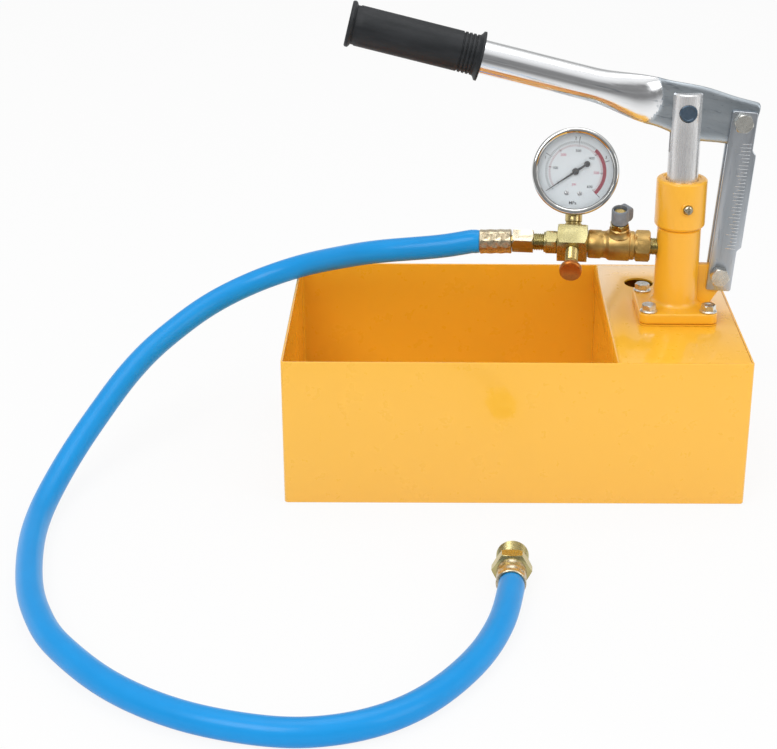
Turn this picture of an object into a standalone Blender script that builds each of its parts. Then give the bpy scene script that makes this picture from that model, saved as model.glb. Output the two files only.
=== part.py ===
"""Hand-lever hydrostatic test pump: open steel tank, plunger pump, brass manifold and hose.

Metres, +Z up. The origin is the middle of the tank's underside, +X to the pump's side, +Y to the back.
"""
import math

import bmesh
import bpy
from mathutils import Matrix, Vector

# Clearances shared by every fit
GAP = 0.0003
RUN_GAP = 0.0002
CUT_OVERRUN = 0.002
SHARP_ANGLE_DEG = 34.0

# Facets round a circle, by size
FINE = 32
MEDIUM = 24
SMALL = 16
TINY = 12
ARC_STEPS = 4

# Tank of folded sheet
TANK_WIDTH = 0.340
TANK_DEPTH = 0.210
TANK_HEIGHT = 0.113
SHEET = 0.0015
TANK_EDGE_RADIUS = 0.0012

# Deck over the pump's end of the tank
DECK_WIDTH = 0.098
DECK_LIP = 0.018
DRAIN_HOLE_D = 0.023
DRAIN_HOLE_FROM_EDGE = 0.0323
DRAIN_HOLE_FROM_BACK = 0.0437
PASSAGE_WIDTH = 0.016
PASSAGE_HEIGHT = 0.008
PASSAGE_COUNT = 4

# Pump body, heights counted from the deck
PUMP_FROM_RIGHT = 0.0455
PUMP_FORWARD = 0.003
GASKET = 0.0015
FLANGE_SIDE = 0.059
FLANGE_THICK = 0.008
FLANGE_CORNER = 0.006
FLANGE_EDGE = 0.0008
BOLT_SQUARE = 0.045
CYLINDER_D = 0.033
CYLINDER_ROOT = 0.003
CHAMBER_D = 0.0248
CHAMBER_FLOOR = 0.014
SHOULDER_HEIGHT = 0.0695
NECK_D = 0.0300
NECK_TOP = 0.0940
LUG_THICK = 0.0064
LUG_RADIUS = 0.0088
LUG_TOP_ABOVE_PIVOT = 0.0072

# Gland cap on the cylinder's neck
CAP_D = 0.038
CAP_TOP = 0.1075
CAP_CHAMFER = 0.0018
CAP_ROOF = 0.0070
SIDE_SCREW_HEIGHT = 0.0885
SIDE_SCREW_TURN_DEG = 8.0
SIDE_SCREW_D = 0.0050
SIDE_SCREW_HEAD_D = 0.0072
SIDE_SCREW_HEAD_RISE = 0.0020
SIDE_BOSS_D = 0.0098
SIDE_BOSS_RISE = 0.0009

# Plunger, its fork and its pin
PLUNGER_D = 0.0232
PLUNGER_TOP = 0.1728
PLUNGER_BOTTOM = 0.0400
FORK_D = 0.0230
FORK_START = 0.1364
FORK_SLOT = 0.0070
FORK_SLOT_BELOW_PIN = 0.0310
PLUNGER_CHAMFER = 0.0010
PIN_D = 0.0130
PIN_SHANK_D = 0.0100
PIN_HEIGHT = 0.1590
PIN_PROUD = 0.0002

# Flange fasteners, M6
M6_D = 0.0060
M6_AF = 0.0100
M6_HEAD = 0.0042
M6_WASHER_D = 0.0132
M6_WASHER = 0.0012
M6_NUT = 0.0050
M6_TAIL = 0.0014

# Link and its pivots, measured from the pump's axis and the deck
LINK_TOP_X = 0.0407
LINK_TOP_Z = 0.1522
LINK_FOOT_X = 0.0314
LINK_FOOT_Z = 0.0329
LINK_WIDTH = 0.0190
LINK_SHEET = 0.0033
LINK_INSIDE = 0.0070
LINK_OFFSET = 0.0012
LINK_TOP_MARGIN = 0.0075
LINK_FOOT_MARGIN = 0.0125
LINK_WEB_PROUD = 0.0030
LINK_WEB_LOW = 0.0200
LINK_WEB_HIGH = 0.0980
LINK_CORNER = 0.0012
M8_D = 0.0080
M8_AF = 0.0130
M8_HEAD = 0.0070
M8_NUT = 0.0065
M8_TAIL = 0.0022

# Lever: a tube whose end is pressed flat
LEVER_SLOPE_DEG = 13.77
LEVER_AXIS_ABOVE_PIN = 0.0016
LEVER_TUBE_D = 0.0250
LEVER_WALL = 0.0020
BLADE_THICK = 0.0064
BLADE_HALF_HEIGHT = 0.0177
BLADE_DROP = 0.0009
BLADE_TIP = 0.0518
BULGE_AT = -0.0080
BULGE_REACH = 0.0300
BULGE_LOW = 0.0036
BULGE_HIGH = 0.0016
BLADE_END = 0.0265
FOLD_LENGTH = 0.0470
FOLD_THICK_RATE = 1.6
FOLD_SQUARE_RATE = 2.4
ROUND_POWER = 2
EDGE_POWER = 6
LEVER_LENGTH = 0.2510
LEVER_SIDES = 28
BORE_CLEAR_OF_FOLD = 0.0030
TIP_CORNER_SHARE = 0.22

# Slot for the pin's shank in the lever, hidden in the fork, where the closed linkage is opened
SLOT_SHIFT = 0.00213
SLOT_HALF_TRAVEL = 0.00225
SLOT_DROP = 0.00017
SLOT_SIDE_PLAY = 0.0003

# Rubber grip
GRIP_LENGTH = 0.0985
GRIP_D = 0.0295
GRIP_INNER_FLANGE_D = 0.0360
GRIP_OUTER_FLANGE_D = 0.0335
GRIP_FLANGE = 0.0030
GRIP_END_WALL = 0.0035
GRIP_RING_COUNT = 3
GRIP_RING_PITCH = 0.0030
GRIP_RING_DEPTH = 0.0008

# Manifold, distances counted from the pump's axis along it
MANIFOLD_YAW_DEG = 6.0
MANIFOLD_HEIGHT = 0.0528
WATERWAY_D = 0.0052
THREAD_D = 0.0130
NIPPLE_START = 0.0134
VALVE_START = 0.0210
VALVE_HEX_END = 0.0325
VALVE_ROUND_END = 0.0571
VALVE_END = 0.0682
TEE_END = 0.0912
ADAPTER_HEX_END = 0.1000
NUT_START = 0.1095
NUT_END = 0.1253
FERRULE_START = 0.1263
FERRULE_LENGTH = 0.0241

# Ball valve
VALVE_HEX_AF = 0.0208
VALVE_BODY_D = 0.0240
VALVE_LEFT_D = 0.0218
VALVE_CAVITY_D = 0.0184
VALVE_BALL_D = 0.0160
VALVE_PORT_D = 0.0070
VALVE_SEAT = 0.0022
STEM_TILT_DEG = 75.0
STEM_D = 0.0060
BONNET_D = 0.0150
BONNET_TOP = 0.0160
GLAND_NUT_AF = 0.0130
GLAND_NUT = 0.0038
HANDLE_REACH = 0.0100
HANDLE_THICK = 0.0095
HANDLE_HEIGHT = 0.0118
HANDLE_LOW = 0.0205
HANDLE_HUB_D = 0.0130
HANDLE_REST_DEG = 45.0
HANDLE_NUT_AF = 0.0080
HANDLE_END_SHARE = 0.35
HANDLE_NUT = 0.0034

# Tee, cut from hexagon bar, with the discharge valve inside
TEE_AF = 0.0280
TEE_CHAMFER = 0.0010
TEE_FACE_DEG = 50.0
TEE_STUB = 0.0092
CHECK_CHAMBER_D = 0.0094
CHECK_SEAT_AT = 0.0700
CHECK_BALL_D = 0.0072
CHECK_LIFT = 0.0016
CHECK_STOP_D = 0.0070
CHECK_NOTCH = 0.0016
ADAPTER_INSERT = 0.0062
GAUGE_PORT_DEPTH = 0.0070
RELEASE_PORT_DEPTH = 0.0070

# Release screw
RELEASE_TILT_DEG = -10.0
RELEASE_D = 0.0100
RELEASE_TIP = 0.0074
RELEASE_END = 0.0440
RELEASE_TIP_D = 0.0050
RELEASE_SEAT_D = 0.0030
KNOB_D = 0.0166
KNOB_THICK = 0.0042
KNOB_BORE_DEPTH = 0.0028
KNOB_CHAMFER = 0.0007

# Pressure gauge
GAUGE_TILT_DEG = 110.0
GAUGE_REACH = 0.0538
GAUGE_BEZEL_D = 0.0660
GAUGE_CASE_D = 0.0612
GAUGE_CASE_WALL = 0.0012
GAUGE_BACK = 0.0130
GAUGE_FRONT = 0.0130
GAUGE_LIP = 0.0034
GAUGE_LIP_INSIDE = 0.0036
GAUGE_GLASS = 0.0016
GAUGE_GLASS_BACK = 0.0098
GAUGE_DIAL_FRONT = 0.0052
GAUGE_DIAL_THICK = 0.0008
GAUGE_STEM_D = 0.0142
GAUGE_BLOCK = 0.0110
POINTER_THICK = 0.0006
POINTER_LIFT = 0.0016
POINTER_LENGTH = 0.0208
POINTER_TAIL = 0.0080
POINTER_WIDTH = 0.0013
POINTER_TAIL_WIDTH = 0.0032
POINTER_HUB_D = 0.0050
POINTER_SHAFT_D = 0.0020
POINTER_ZERO_DEG = 215.0
BOURDON_R = 0.0200
BOURDON_TUBE_D = 0.0046
BOURDON_DEPTH = 0.0050
BOURDON_SWEEP_DEG = 240.0
BOURDON_START = 0.0065
BOURDON_POINTS = 17

# Hose adapter, swivel nut and tail
HEX17_AF = 0.0170
NUT_COLLAR = 0.0024
TAIL_COLLAR_D = 0.0126
TAIL_NECK_D = 0.0092
FERRULE_DROOP_DEG = 3.0
ADAPTER_REACH_SHARE = 0.52

# Hose: its size and route, metres from the tank's centre
HOSE_D = 0.0180
FERRULE_D = 0.0187
CRIMP_DEPTH = 0.0007
CRIMP_COUNT = 3
HOSE_STEP_IN_DIAMETERS = 1.5
HOSE_BEVEL_RESOLUTION = 3
HOSE_ROUTE = (
    (-0.0449, 0.0150, 0.1606),
    (-0.0629, 0.0178, 0.1574),
    (-0.1035, 0.0285, 0.1500),
    (-0.1330, 0.0470, 0.1386),
    (-0.1678, 0.0670, 0.1236),
    (-0.2060, 0.0670, 0.1093),
    (-0.2405, 0.0500, 0.0960),
    (-0.2709, 0.0240, 0.0798),
    (-0.2870, 0.0040, 0.0696),
    (-0.3003, -0.0200, 0.0591),
    (-0.3130, -0.0460, 0.0462),
    (-0.3245, -0.0700, 0.0336),
    (-0.3351, -0.0990, 0.0203),
    (-0.3417, -0.1389, 0.0105),
    (-0.3389, -0.1872, 0.0091),
    (-0.3280, -0.2440, 0.0091),
    (-0.3130, -0.2849, 0.0091),
    (-0.2953, -0.3158, 0.0091),
    (-0.2561, -0.3599, 0.0091),
    (-0.2100, -0.3908, 0.0091),
    (-0.1610, -0.4066, 0.0091),
    (-0.1248, -0.4076, 0.0091),
    (-0.0897, -0.3954, 0.0091),
    (-0.0598, -0.3704, 0.0091),
    (-0.0328, -0.3303, 0.0093),
    (-0.0165, -0.2894, 0.0105),
)

# Far end of the hose
FAR_END = (-0.0085, -0.2433, 0.0122)
FAR_TURN_DEG = 4.0
FAR_FERRULE_D = 0.0206
FAR_FERRULE_LENGTH = 0.0160
FAR_HEX_AF = 0.0240
FAR_HEX = 0.0090
FAR_THREAD_D = 0.0222
FAR_THREAD = 0.0170
FAR_BORE_D = 0.0120

# Suction valve, tube and strainer under the deck
SUCTION_THREAD_D = 0.0174
SUCTION_TOP = 0.0124
SUCTION_HEX_AF = 0.0240
SUCTION_HEX = 0.0060
SUCTION_BALL_D = 0.0090
SUCTION_SEAT_D = 0.0060
SUCTION_CHAMBER_D = 0.0106
SUCTION_LIP_D = 0.0068
SUCTION_LIP = 0.0024
SUCTION_SPIGOT = 0.0120
SUCTION_SPIGOT_D = 0.0110
SUCTION_TUBE_D = 0.0140
STRAINER_D = 0.0200
STRAINER_HEIGHT = 0.0220
STRAINER_WALL = 0.0014
STRAINER_OFF_FLOOR = 0.0045
STRAINER_SLOT = 0.0022

# Finishes: colour, roughness, metallic
FINISHES = {
    "yellow_paint": ((0.86, 0.45, 0.055), 0.28, 0.0),
    "zinc_plate": ((0.62, 0.64, 0.66), 0.34, 1.0),
    "polished_steel": ((0.72, 0.73, 0.74), 0.18, 1.0),
    "dark_steel": ((0.10, 0.12, 0.15), 0.35, 1.0),
    "brass": ((0.74, 0.56, 0.26), 0.27, 1.0),
    "copper_tint": ((0.72, 0.38, 0.17), 0.30, 1.0),
    "chrome": ((0.80, 0.80, 0.80), 0.08, 1.0),
    "white_dial": ((0.88, 0.89, 0.90), 0.45, 0.0),
    "clear_window": ((0.90, 0.93, 0.94), 0.05, 0.0),
    "black_paint": ((0.02, 0.02, 0.02), 0.40, 0.0),
    "grey_coating": ((0.25, 0.26, 0.28), 0.45, 0.0),
    "blue_hose": ((0.02, 0.28, 0.80), 0.30, 0.0),
    "black_rubber": ((0.035, 0.037, 0.040), 0.62, 0.0),
    "seal_white": ((0.80, 0.80, 0.78), 0.50, 0.0),
    "gasket_black": ((0.05, 0.05, 0.05), 0.80, 0.0),
    "stainless": ((0.66, 0.67, 0.68), 0.25, 1.0),
}

# Places worked out from the sizes above
DECK_EDGE_X = TANK_WIDTH / 2 - DECK_WIDTH
PUMP_X = TANK_WIDTH / 2 - PUMP_FROM_RIGHT
PUMP_Y = -PUMP_FORWARD
PUMP_FOOT = Vector((PUMP_X, PUMP_Y, TANK_HEIGHT))
FLANGE_TOP = GASKET + FLANGE_THICK
HEX_CORNER_RATIO = 2 / math.sqrt(3)
MANIFOLD_ALONG = Vector((-math.cos(math.radians(MANIFOLD_YAW_DEG)),
                         math.sin(math.radians(MANIFOLD_YAW_DEG)), 0))
MANIFOLD_FRONT = Vector((-math.sin(math.radians(MANIFOLD_YAW_DEG)),
                         -math.cos(math.radians(MANIFOLD_YAW_DEG)), 0))
MANIFOLD_START = PUMP_FOOT + Vector((0, 0, MANIFOLD_HEIGHT))
VALVE_CENTRE = (VALVE_HEX_END + VALVE_ROUND_END) / 2
TEE_CENTRE = (VALVE_END + TEE_END) / 2
LEVER_TURN = math.radians(LEVER_SLOPE_DEG)
LEVER_OUT = Vector((-math.cos(LEVER_TURN), 0, math.sin(LEVER_TURN)))
LEVER_UP = Vector((math.sin(LEVER_TURN), 0, math.cos(LEVER_TURN)))
PIN_POINT = PUMP_FOOT + Vector((0, 0, PIN_HEIGHT))
LINK_TOP = PUMP_FOOT + Vector((LINK_TOP_X, 0, LINK_TOP_Z))
LINK_FOOT = PUMP_FOOT + Vector((LINK_FOOT_X, 0, LINK_FOOT_Z))
LINK_LENGTH = (LINK_TOP - LINK_FOOT).length


def clear_scene():
    """Empty the scene of whatever it opened with."""
    for thing in list(bpy.data.objects):
        bpy.data.objects.remove(thing, do_unlink=True)


def finish(node, name):
    """Give one node a material of its own in a named finish."""
    colour, roughness, metallic = FINISHES[name]
    material = bpy.data.materials.new(node.name + "_" + name)
    material.use_nodes = True
    shader = material.node_tree.nodes["Principled BSDF"]
    shader.inputs["Base Color"].default_value = (*colour, 1.0)
    shader.inputs["Roughness"].default_value = roughness
    shader.inputs["Metallic"].default_value = metallic
    node.data.materials.clear()
    node.data.materials.append(material)


def add_object(name, mesh_builder):
    """Turn a filled bmesh into a smooth-shaded object."""
    bmesh.ops.recalc_face_normals(mesh_builder, faces=mesh_builder.faces)
    mesh = bpy.data.meshes.new(name)
    mesh_builder.to_mesh(mesh)
    mesh_builder.free()
    mesh.shade_smooth()
    mesh.set_sharp_from_angle(angle=math.radians(SHARP_ANGLE_DEG))
    node = bpy.data.objects.new(name, mesh)
    bpy.context.scene.collection.objects.link(node)
    return node


def axes(origin, along, side):
    """Matrix whose +Z is along, and whose +X is side made square to it."""
    up = Vector(along).normalized()
    across = Vector(side)
    across = (across - up * across.dot(up)).normalized()
    third = up.cross(across)
    matrix = Matrix((across, third, up)).transposed().to_4x4()
    matrix.translation = origin
    return matrix


def place(node, origin, along=(0, 0, 1), side=(1, 0, 0), parent=None):
    """Stand a node that was drawn along +Z on a line, under a parent if it has one."""
    node.matrix_world = axes(origin, along, side)
    if parent is not None:
        node.parent = parent
        node.matrix_parent_inverse = parent.matrix_world.inverted()
    return node


def pivot(name, origin, along=(0, 0, 1), side=(1, 0, 0)):
    """An empty on a joint's axis, its +Z along the axis."""
    empty = bpy.data.objects.new(name, None)
    bpy.context.scene.collection.objects.link(empty)
    empty.matrix_world = axes(origin, along, side)
    return empty


def turned(name, profile, segments, closed=False):
    """Solid of revolution about +Z. An open profile starts and ends on the axis; a closed one is a ring."""
    builder = bmesh.new()
    rows = []
    for radius, height in profile:
        if radius <= 0:
            rows.append([builder.verts.new((0, 0, height))])
            continue
        turn = 2 * math.pi / segments
        rows.append([builder.verts.new((radius * math.cos(i * turn), radius * math.sin(i * turn), height))
                     for i in range(segments)])
    pairs = list(zip(rows, rows[1:]))
    if closed:
        pairs.append((rows[-1], rows[0]))
    for first, second in pairs:
        for i in range(segments):
            j = (i + 1) % segments
            if len(first) == 1 and len(second) == 1:
                break
            if len(first) == 1:
                builder.faces.new((first[0], second[j], second[i]))
            elif len(second) == 1:
                builder.faces.new((first[i], first[j], second[0]))
            else:
                builder.faces.new((first[i], first[j], second[j], second[i]))
    return add_object(name, builder)


def rod(name, radius, low, high, segments, chamfer=0):
    """Plain round bar about +Z, with a chamfer at both ends if asked."""
    if chamfer:
        profile = ((0, high), (radius - chamfer, high), (radius, high - chamfer),
                   (radius, low + chamfer), (radius - chamfer, low), (0, low))
    else:
        profile = ((0, high), (radius, high), (radius, low), (0, low))
    return turned(name, profile, segments)


def tube(name, outer, inner, low, high, segments):
    """Plain ring about +Z."""
    profile = ((outer, high), (outer, low), (inner, low), (inner, high))
    return turned(name, profile, segments, closed=True)


def hexagon(name, across_flats, low, high, chamfer=0, flat_at_deg=0):
    """Hexagon bar about +Z, one flat square to flat_at_deg, its ends chamfered if asked."""
    builder = bmesh.new()
    corner = across_flats / 2 * HEX_CORNER_RATIO
    levels = [(low, corner), (high, corner)]
    if chamfer:
        levels = [(low, corner - chamfer), (low + chamfer, corner), (high - chamfer, corner),
                  (high, corner - chamfer)]
    rows = []
    sides = 6
    start = math.radians(flat_at_deg) + math.pi / sides
    for height, reach in levels:
        rows.append([builder.verts.new((reach * math.cos(start + i * 2 * math.pi / sides),
                                        reach * math.sin(start + i * 2 * math.pi / sides), height))
                     for i in range(sides)])
    for first, second in zip(rows, rows[1:]):
        for i in range(sides):
            j = (i + 1) % sides
            builder.faces.new((first[i], first[j], second[j], second[i]))
    builder.faces.new(rows[0])
    builder.faces.new(rows[-1])
    return add_object(name, builder)


def slab(name, outline, low, high):
    """Straight extrusion of an outline in the XY plane."""
    builder = bmesh.new()
    bottom = [builder.verts.new((x, y, low)) for x, y in outline]
    top = [builder.verts.new((x, y, high)) for x, y in outline]
    for i in range(len(outline)):
        j = (i + 1) % len(outline)
        builder.faces.new((bottom[i], bottom[j], top[j], top[i]))
    builder.faces.new(bottom)
    builder.faces.new(top)
    return add_object(name, builder)


def block(name, low, high):
    """Box between two corners."""
    outline = ((low[0], low[1]), (high[0], low[1]), (high[0], high[1]), (low[0], high[1]))
    return slab(name, outline, low[2], high[2])


def arc(centre_x, centre_y, radius, start_deg, end_deg, steps):
    """Points along an arc, both ends included."""
    points = []
    for i in range(steps + 1):
        angle = math.radians(start_deg + (end_deg - start_deg) * i / steps)
        points.append((centre_x + radius * math.cos(angle), centre_y + radius * math.sin(angle)))
    return points


def round_box_outline(half_x, half_y, radius, steps):
    """Outline of a rectangle with round corners about the origin."""
    points = []
    quarters = ((1, 1, 0), (-1, 1, 90), (-1, -1, 180), (1, -1, 270))
    for sign_x, sign_y, start in quarters:
        corner_x = sign_x * (half_x - radius)
        corner_y = sign_y * (half_y - radius)
        points += arc(corner_x, corner_y, radius, start, start + 90, steps)
    return points


def hide_tool(tool):
    """Keep a cutter or a joined shape out of the model."""
    tool.hide_render = True
    tool.display_type = "WIRE"


def cut(node, cutter):
    """Take a cutter's shape away from a node."""
    modifier = node.modifiers.new("cut_" + cutter.name, "BOOLEAN")
    modifier.operation = "DIFFERENCE"
    modifier.solver = "EXACT"
    modifier.object = cutter
    hide_tool(cutter)


def join(node, other):
    """Melt another shape into a node."""
    modifier = node.modifiers.new("join_" + other.name, "BOOLEAN")
    modifier.operation = "UNION"
    modifier.solver = "EXACT"
    modifier.object = other
    hide_tool(other)


def cut_bore(node, name, radius, start, along, length, segments):
    """Drill a round hole from a world point along a direction."""
    drill = rod(name, radius, -CUT_OVERRUN, length, segments)
    place(drill, start, along, side_of(along))
    cut(node, drill)
    return drill


def side_of(along):
    """A direction that is not along the given one."""
    direction = Vector(along).normalized()
    if abs(direction.x) < abs(direction.z) or abs(direction.x) < abs(direction.y):
        return Vector((1, 0, 0))
    return Vector((0, 0, 1))


def on_manifold(distance):
    """Point on the manifold's axis, a distance from the pump's axis."""
    return MANIFOLD_START + MANIFOLD_ALONG * distance


def round_manifold(tilt_deg):
    """Direction square to the manifold, counted from the front horizontal upwards."""
    tilt = math.radians(tilt_deg)
    return MANIFOLD_FRONT * math.cos(tilt) + Vector((0, 0, 1)) * math.sin(tilt)


def place_on_manifold(node, distance, parent=None):
    """Stand a node on the manifold's axis with its +X at the front horizontal."""
    return place(node, on_manifold(distance), MANIFOLD_ALONG, MANIFOLD_FRONT, parent)


def bevel(node, width, segments=1):
    """Round a node's hard edges a little."""
    modifier = node.modifiers.new("edge", "BEVEL")
    modifier.width = width
    modifier.segments = segments
    modifier.limit_method = "ANGLE"
    modifier.angle_limit = math.radians(SHARP_ANGLE_DEG)


def build_tank():
    """Open tank, the deck over one end, and the partition under the deck's edge."""
    half_w = TANK_WIDTH / 2
    half_d = TANK_DEPTH / 2
    shell = block("tank_shell", (-half_w, -half_d, 0), (half_w, half_d, TANK_HEIGHT))
    bevel(shell, TANK_EDGE_RADIUS)
    hollow = block("tank_hollow", (-half_w + SHEET, -half_d + SHEET, SHEET),
                   (half_w - SHEET, half_d - SHEET, TANK_HEIGHT + CUT_OVERRUN))
    cut(shell, hollow)
    finish(shell, "yellow_paint")

    wall_y = half_d - SHEET - GAP
    right = half_w - SHEET - GAP
    deck = block("deck_plate", (DECK_EDGE_X, -wall_y, TANK_HEIGHT - SHEET), (right, wall_y, TANK_HEIGHT))
    lip = block("deck_lip", (DECK_EDGE_X, -wall_y, TANK_HEIGHT - DECK_LIP),
                (DECK_EDGE_X + SHEET, wall_y, TANK_HEIGHT - SHEET / 2))
    join(deck, lip)
    drain_x = DECK_EDGE_X + DRAIN_HOLE_FROM_EDGE
    drain_y = half_d - DRAIN_HOLE_FROM_BACK
    holes = [(drain_x, drain_y, DRAIN_HOLE_D / 2, FINE),
             (PUMP_X, PUMP_Y, SUCTION_THREAD_D / 2 + GAP, MEDIUM)]
    for x, y in bolt_places():
        holes.append((x, y, M6_D / 2 + GAP, SMALL))
    for i, (x, y, radius, segments) in enumerate(holes):
        cut_bore(deck, "deck_hole_" + str(i), radius, (x, y, TANK_HEIGHT), (0, 0, -1),
                 SHEET + CUT_OVERRUN, segments)
    finish(deck, "yellow_paint")

    partition_x = DECK_EDGE_X + SHEET + GAP
    partition = block("partition_plate", (partition_x, -wall_y, SHEET + GAP),
                      (partition_x + SHEET, wall_y, TANK_HEIGHT - SHEET - GAP))
    pitch = 2 * wall_y / PASSAGE_COUNT
    for i in range(PASSAGE_COUNT):
        middle = -wall_y + pitch * (i + 0.5)
        passage = block("passage_" + str(i),
                        (partition_x - CUT_OVERRUN, middle - PASSAGE_WIDTH / 2, 0),
                        (partition_x + SHEET + CUT_OVERRUN, middle + PASSAGE_WIDTH / 2,
                         SHEET + GAP + PASSAGE_HEIGHT))
        cut(partition, passage)
    finish(partition, "yellow_paint")


def bolt_places():
    """The four flange bolts, front left, front right, rear left, rear right."""
    half = BOLT_SQUARE / 2
    return [(PUMP_X + sign_x * half, PUMP_Y + sign_y * half)
            for sign_x, sign_y in ((-1, -1), (1, -1), (-1, 1), (1, 1))]


def build_gasket():
    """Flat gasket between the flange and the deck."""
    outline = round_box_outline(FLANGE_SIDE / 2, FLANGE_SIDE / 2, FLANGE_CORNER, ARC_STEPS)
    gasket = slab("base_gasket", outline, GAP, GASKET - GAP)
    place(gasket, PUMP_FOOT)
    holes = [(PUMP_X, PUMP_Y, SUCTION_THREAD_D / 2 + GAP)]
    holes += [(x, y, M6_D / 2 + GAP) for x, y in bolt_places()]
    for i, (x, y, radius) in enumerate(holes):
        cut_bore(gasket, "gasket_hole_" + str(i), radius, (x, y, TANK_HEIGHT), (0, 0, 1),
                 GASKET + CUT_OVERRUN, SMALL)
    finish(gasket, "gasket_black")


def build_pump_body():
    """Cast body: flange, cylinder with its neck, and the lug that carries the link."""
    outline = round_box_outline(FLANGE_SIDE / 2, FLANGE_SIDE / 2, FLANGE_CORNER, ARC_STEPS)
    body = slab("pump_body", outline, GASKET, FLANGE_TOP)
    bevel(body, FLANGE_EDGE)
    place(body, PUMP_FOOT)
    radius = CYLINDER_D / 2
    barrel_profile = [(0, NECK_TOP), (NECK_D / 2, NECK_TOP), (NECK_D / 2, SHOULDER_HEIGHT),
                      (radius, SHOULDER_HEIGHT)]
    barrel_profile += [(radius + CYLINDER_ROOT - x, FLANGE_TOP + CYLINDER_ROOT - y) for x, y in
                       arc(0, 0, CYLINDER_ROOT, 0, 90, ARC_STEPS)]
    barrel_profile += [(radius + CYLINDER_ROOT, FLANGE_TOP - FLANGE_THICK / 2),
                       (0, FLANGE_TOP - FLANGE_THICK / 2)]
    barrel = turned("pump_barrel", barrel_profile, FINE)
    place(barrel, PUMP_FOOT)
    join(body, barrel)

    lug_top = LINK_FOOT_Z + LUG_TOP_ABOVE_PIVOT
    rise = math.degrees(math.asin(LUG_TOP_ABOVE_PIVOT / LUG_RADIUS))
    foot_x = FLANGE_SIDE / 2 - FLANGE_CORNER / 2
    lug_outline = [(0, FLANGE_TOP - FLANGE_THICK / 2), (foot_x, FLANGE_TOP - FLANGE_THICK / 2),
                   (foot_x, FLANGE_TOP)]
    lug_outline += arc(LINK_FOOT_X, LINK_FOOT_Z, LUG_RADIUS, -35, rise, ARC_STEPS * 2)
    lug_outline += [(0, lug_top)]
    lug = slab("pump_lug", lug_outline, -LUG_THICK / 2, LUG_THICK / 2)
    place(lug, PUMP_FOOT, (0, -1, 0), (1, 0, 0))
    join(body, lug)

    chamber = rod("pump_chamber", CHAMBER_D / 2, CHAMBER_FLOOR, NECK_TOP + CUT_OVERRUN, MEDIUM)
    place(chamber, PUMP_FOOT)
    cut(body, chamber)
    cut_bore(body, "suction_port", SUCTION_THREAD_D / 2 + GAP, PUMP_FOOT + Vector((0, 0, GASKET)),
             (0, 0, 1), CHAMBER_FLOOR, MEDIUM)
    outlet = rod("outlet_port", THREAD_D / 2 + GAP, CHAMBER_D / 4, CYLINDER_D, MEDIUM)
    place_on_manifold(outlet, 0)
    cut(body, outlet)
    for i, (x, y) in enumerate(bolt_places()):
        cut_bore(body, "flange_hole_" + str(i), M6_D / 2 + GAP, (x, y, TANK_HEIGHT + GASKET),
                 (0, 0, 1), FLANGE_THICK + CUT_OVERRUN * 2, SMALL)
    reach = LUG_THICK / 2 + CUT_OVERRUN
    cut_bore(body, "lug_hole", M8_D / 2 + RUN_GAP, LINK_FOOT - Vector((0, reach, 0)), (0, 1, 0),
             reach * 2, SMALL)
    screw_way = side_screw_direction()
    dimple_depth = (NECK_D - CHAMBER_D) / 4
    dimple = rod("neck_dimple", SIDE_SCREW_D / 2 + GAP, NECK_D / 2 - dimple_depth, NECK_D, TINY)
    place(dimple, PUMP_FOOT + Vector((0, 0, SIDE_SCREW_HEIGHT)), screw_way)
    cut(body, dimple)
    finish(body, "yellow_paint")


def side_screw_direction():
    """Way the gland's locking screw points out, a little right of the front."""
    turn = math.radians(SIDE_SCREW_TURN_DEG)
    return Vector((math.sin(turn), -math.cos(turn), 0))


def build_gland():
    """Gland cap, its locking screw and the plunger's seal."""
    outer = CAP_D / 2
    inner = NECK_D / 2 + GAP
    way = PLUNGER_D / 2 + GAP
    low = SHOULDER_HEIGHT + GAP
    roof = CAP_TOP - CAP_ROOF
    cap = turned("gland_cap", (
        (outer - CAP_CHAMFER, CAP_TOP), (outer, CAP_TOP - CAP_CHAMFER),
        (outer, low + CAP_CHAMFER), (outer - CAP_CHAMFER, low), (inner, low), (inner, roof),
        (way, roof), (way, CAP_TOP - CAP_CHAMFER / 2), (way + CAP_CHAMFER / 2, CAP_TOP)), FINE, closed=True)
    place(cap, PUMP_FOOT)
    screw_way = side_screw_direction()
    screw_origin = PUMP_FOOT + Vector((0, 0, SIDE_SCREW_HEIGHT))
    face = outer + SIDE_BOSS_RISE
    boss = rod("cap_boss", SIDE_BOSS_D / 2, (outer + inner) / 2, face, SMALL)
    place(boss, screw_origin, screw_way)
    join(cap, boss)
    hole = rod("cap_screw_hole", SIDE_SCREW_D / 2 + GAP, NECK_D / 4, face + CUT_OVERRUN, TINY)
    place(hole, screw_origin, screw_way)
    cut(cap, hole)
    finish(cap, "yellow_paint")

    tip = NECK_D / 2 - (NECK_D - CHAMBER_D) / 4 + GAP
    head = SIDE_SCREW_HEAD_D / 2
    top = face + GAP + SIDE_SCREW_HEAD_RISE
    screw = turned("gland_side_screw", (
        (0, top), (head * 0.55, top - SIDE_SCREW_HEAD_RISE * 0.12),
        (head, top - SIDE_SCREW_HEAD_RISE * 0.6), (head, face + GAP),
        (SIDE_SCREW_D / 2, face + GAP), (SIDE_SCREW_D / 2, tip), (0, tip)), TINY)
    place(screw, screw_origin, screw_way)
    finish(screw, "brass")

    seal = tube("gland_seal", NECK_D / 2, way - GAP / 2, NECK_TOP + GAP, roof - GAP, MEDIUM)
    place(seal, PUMP_FOOT)
    finish(seal, "seal_white")


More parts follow.
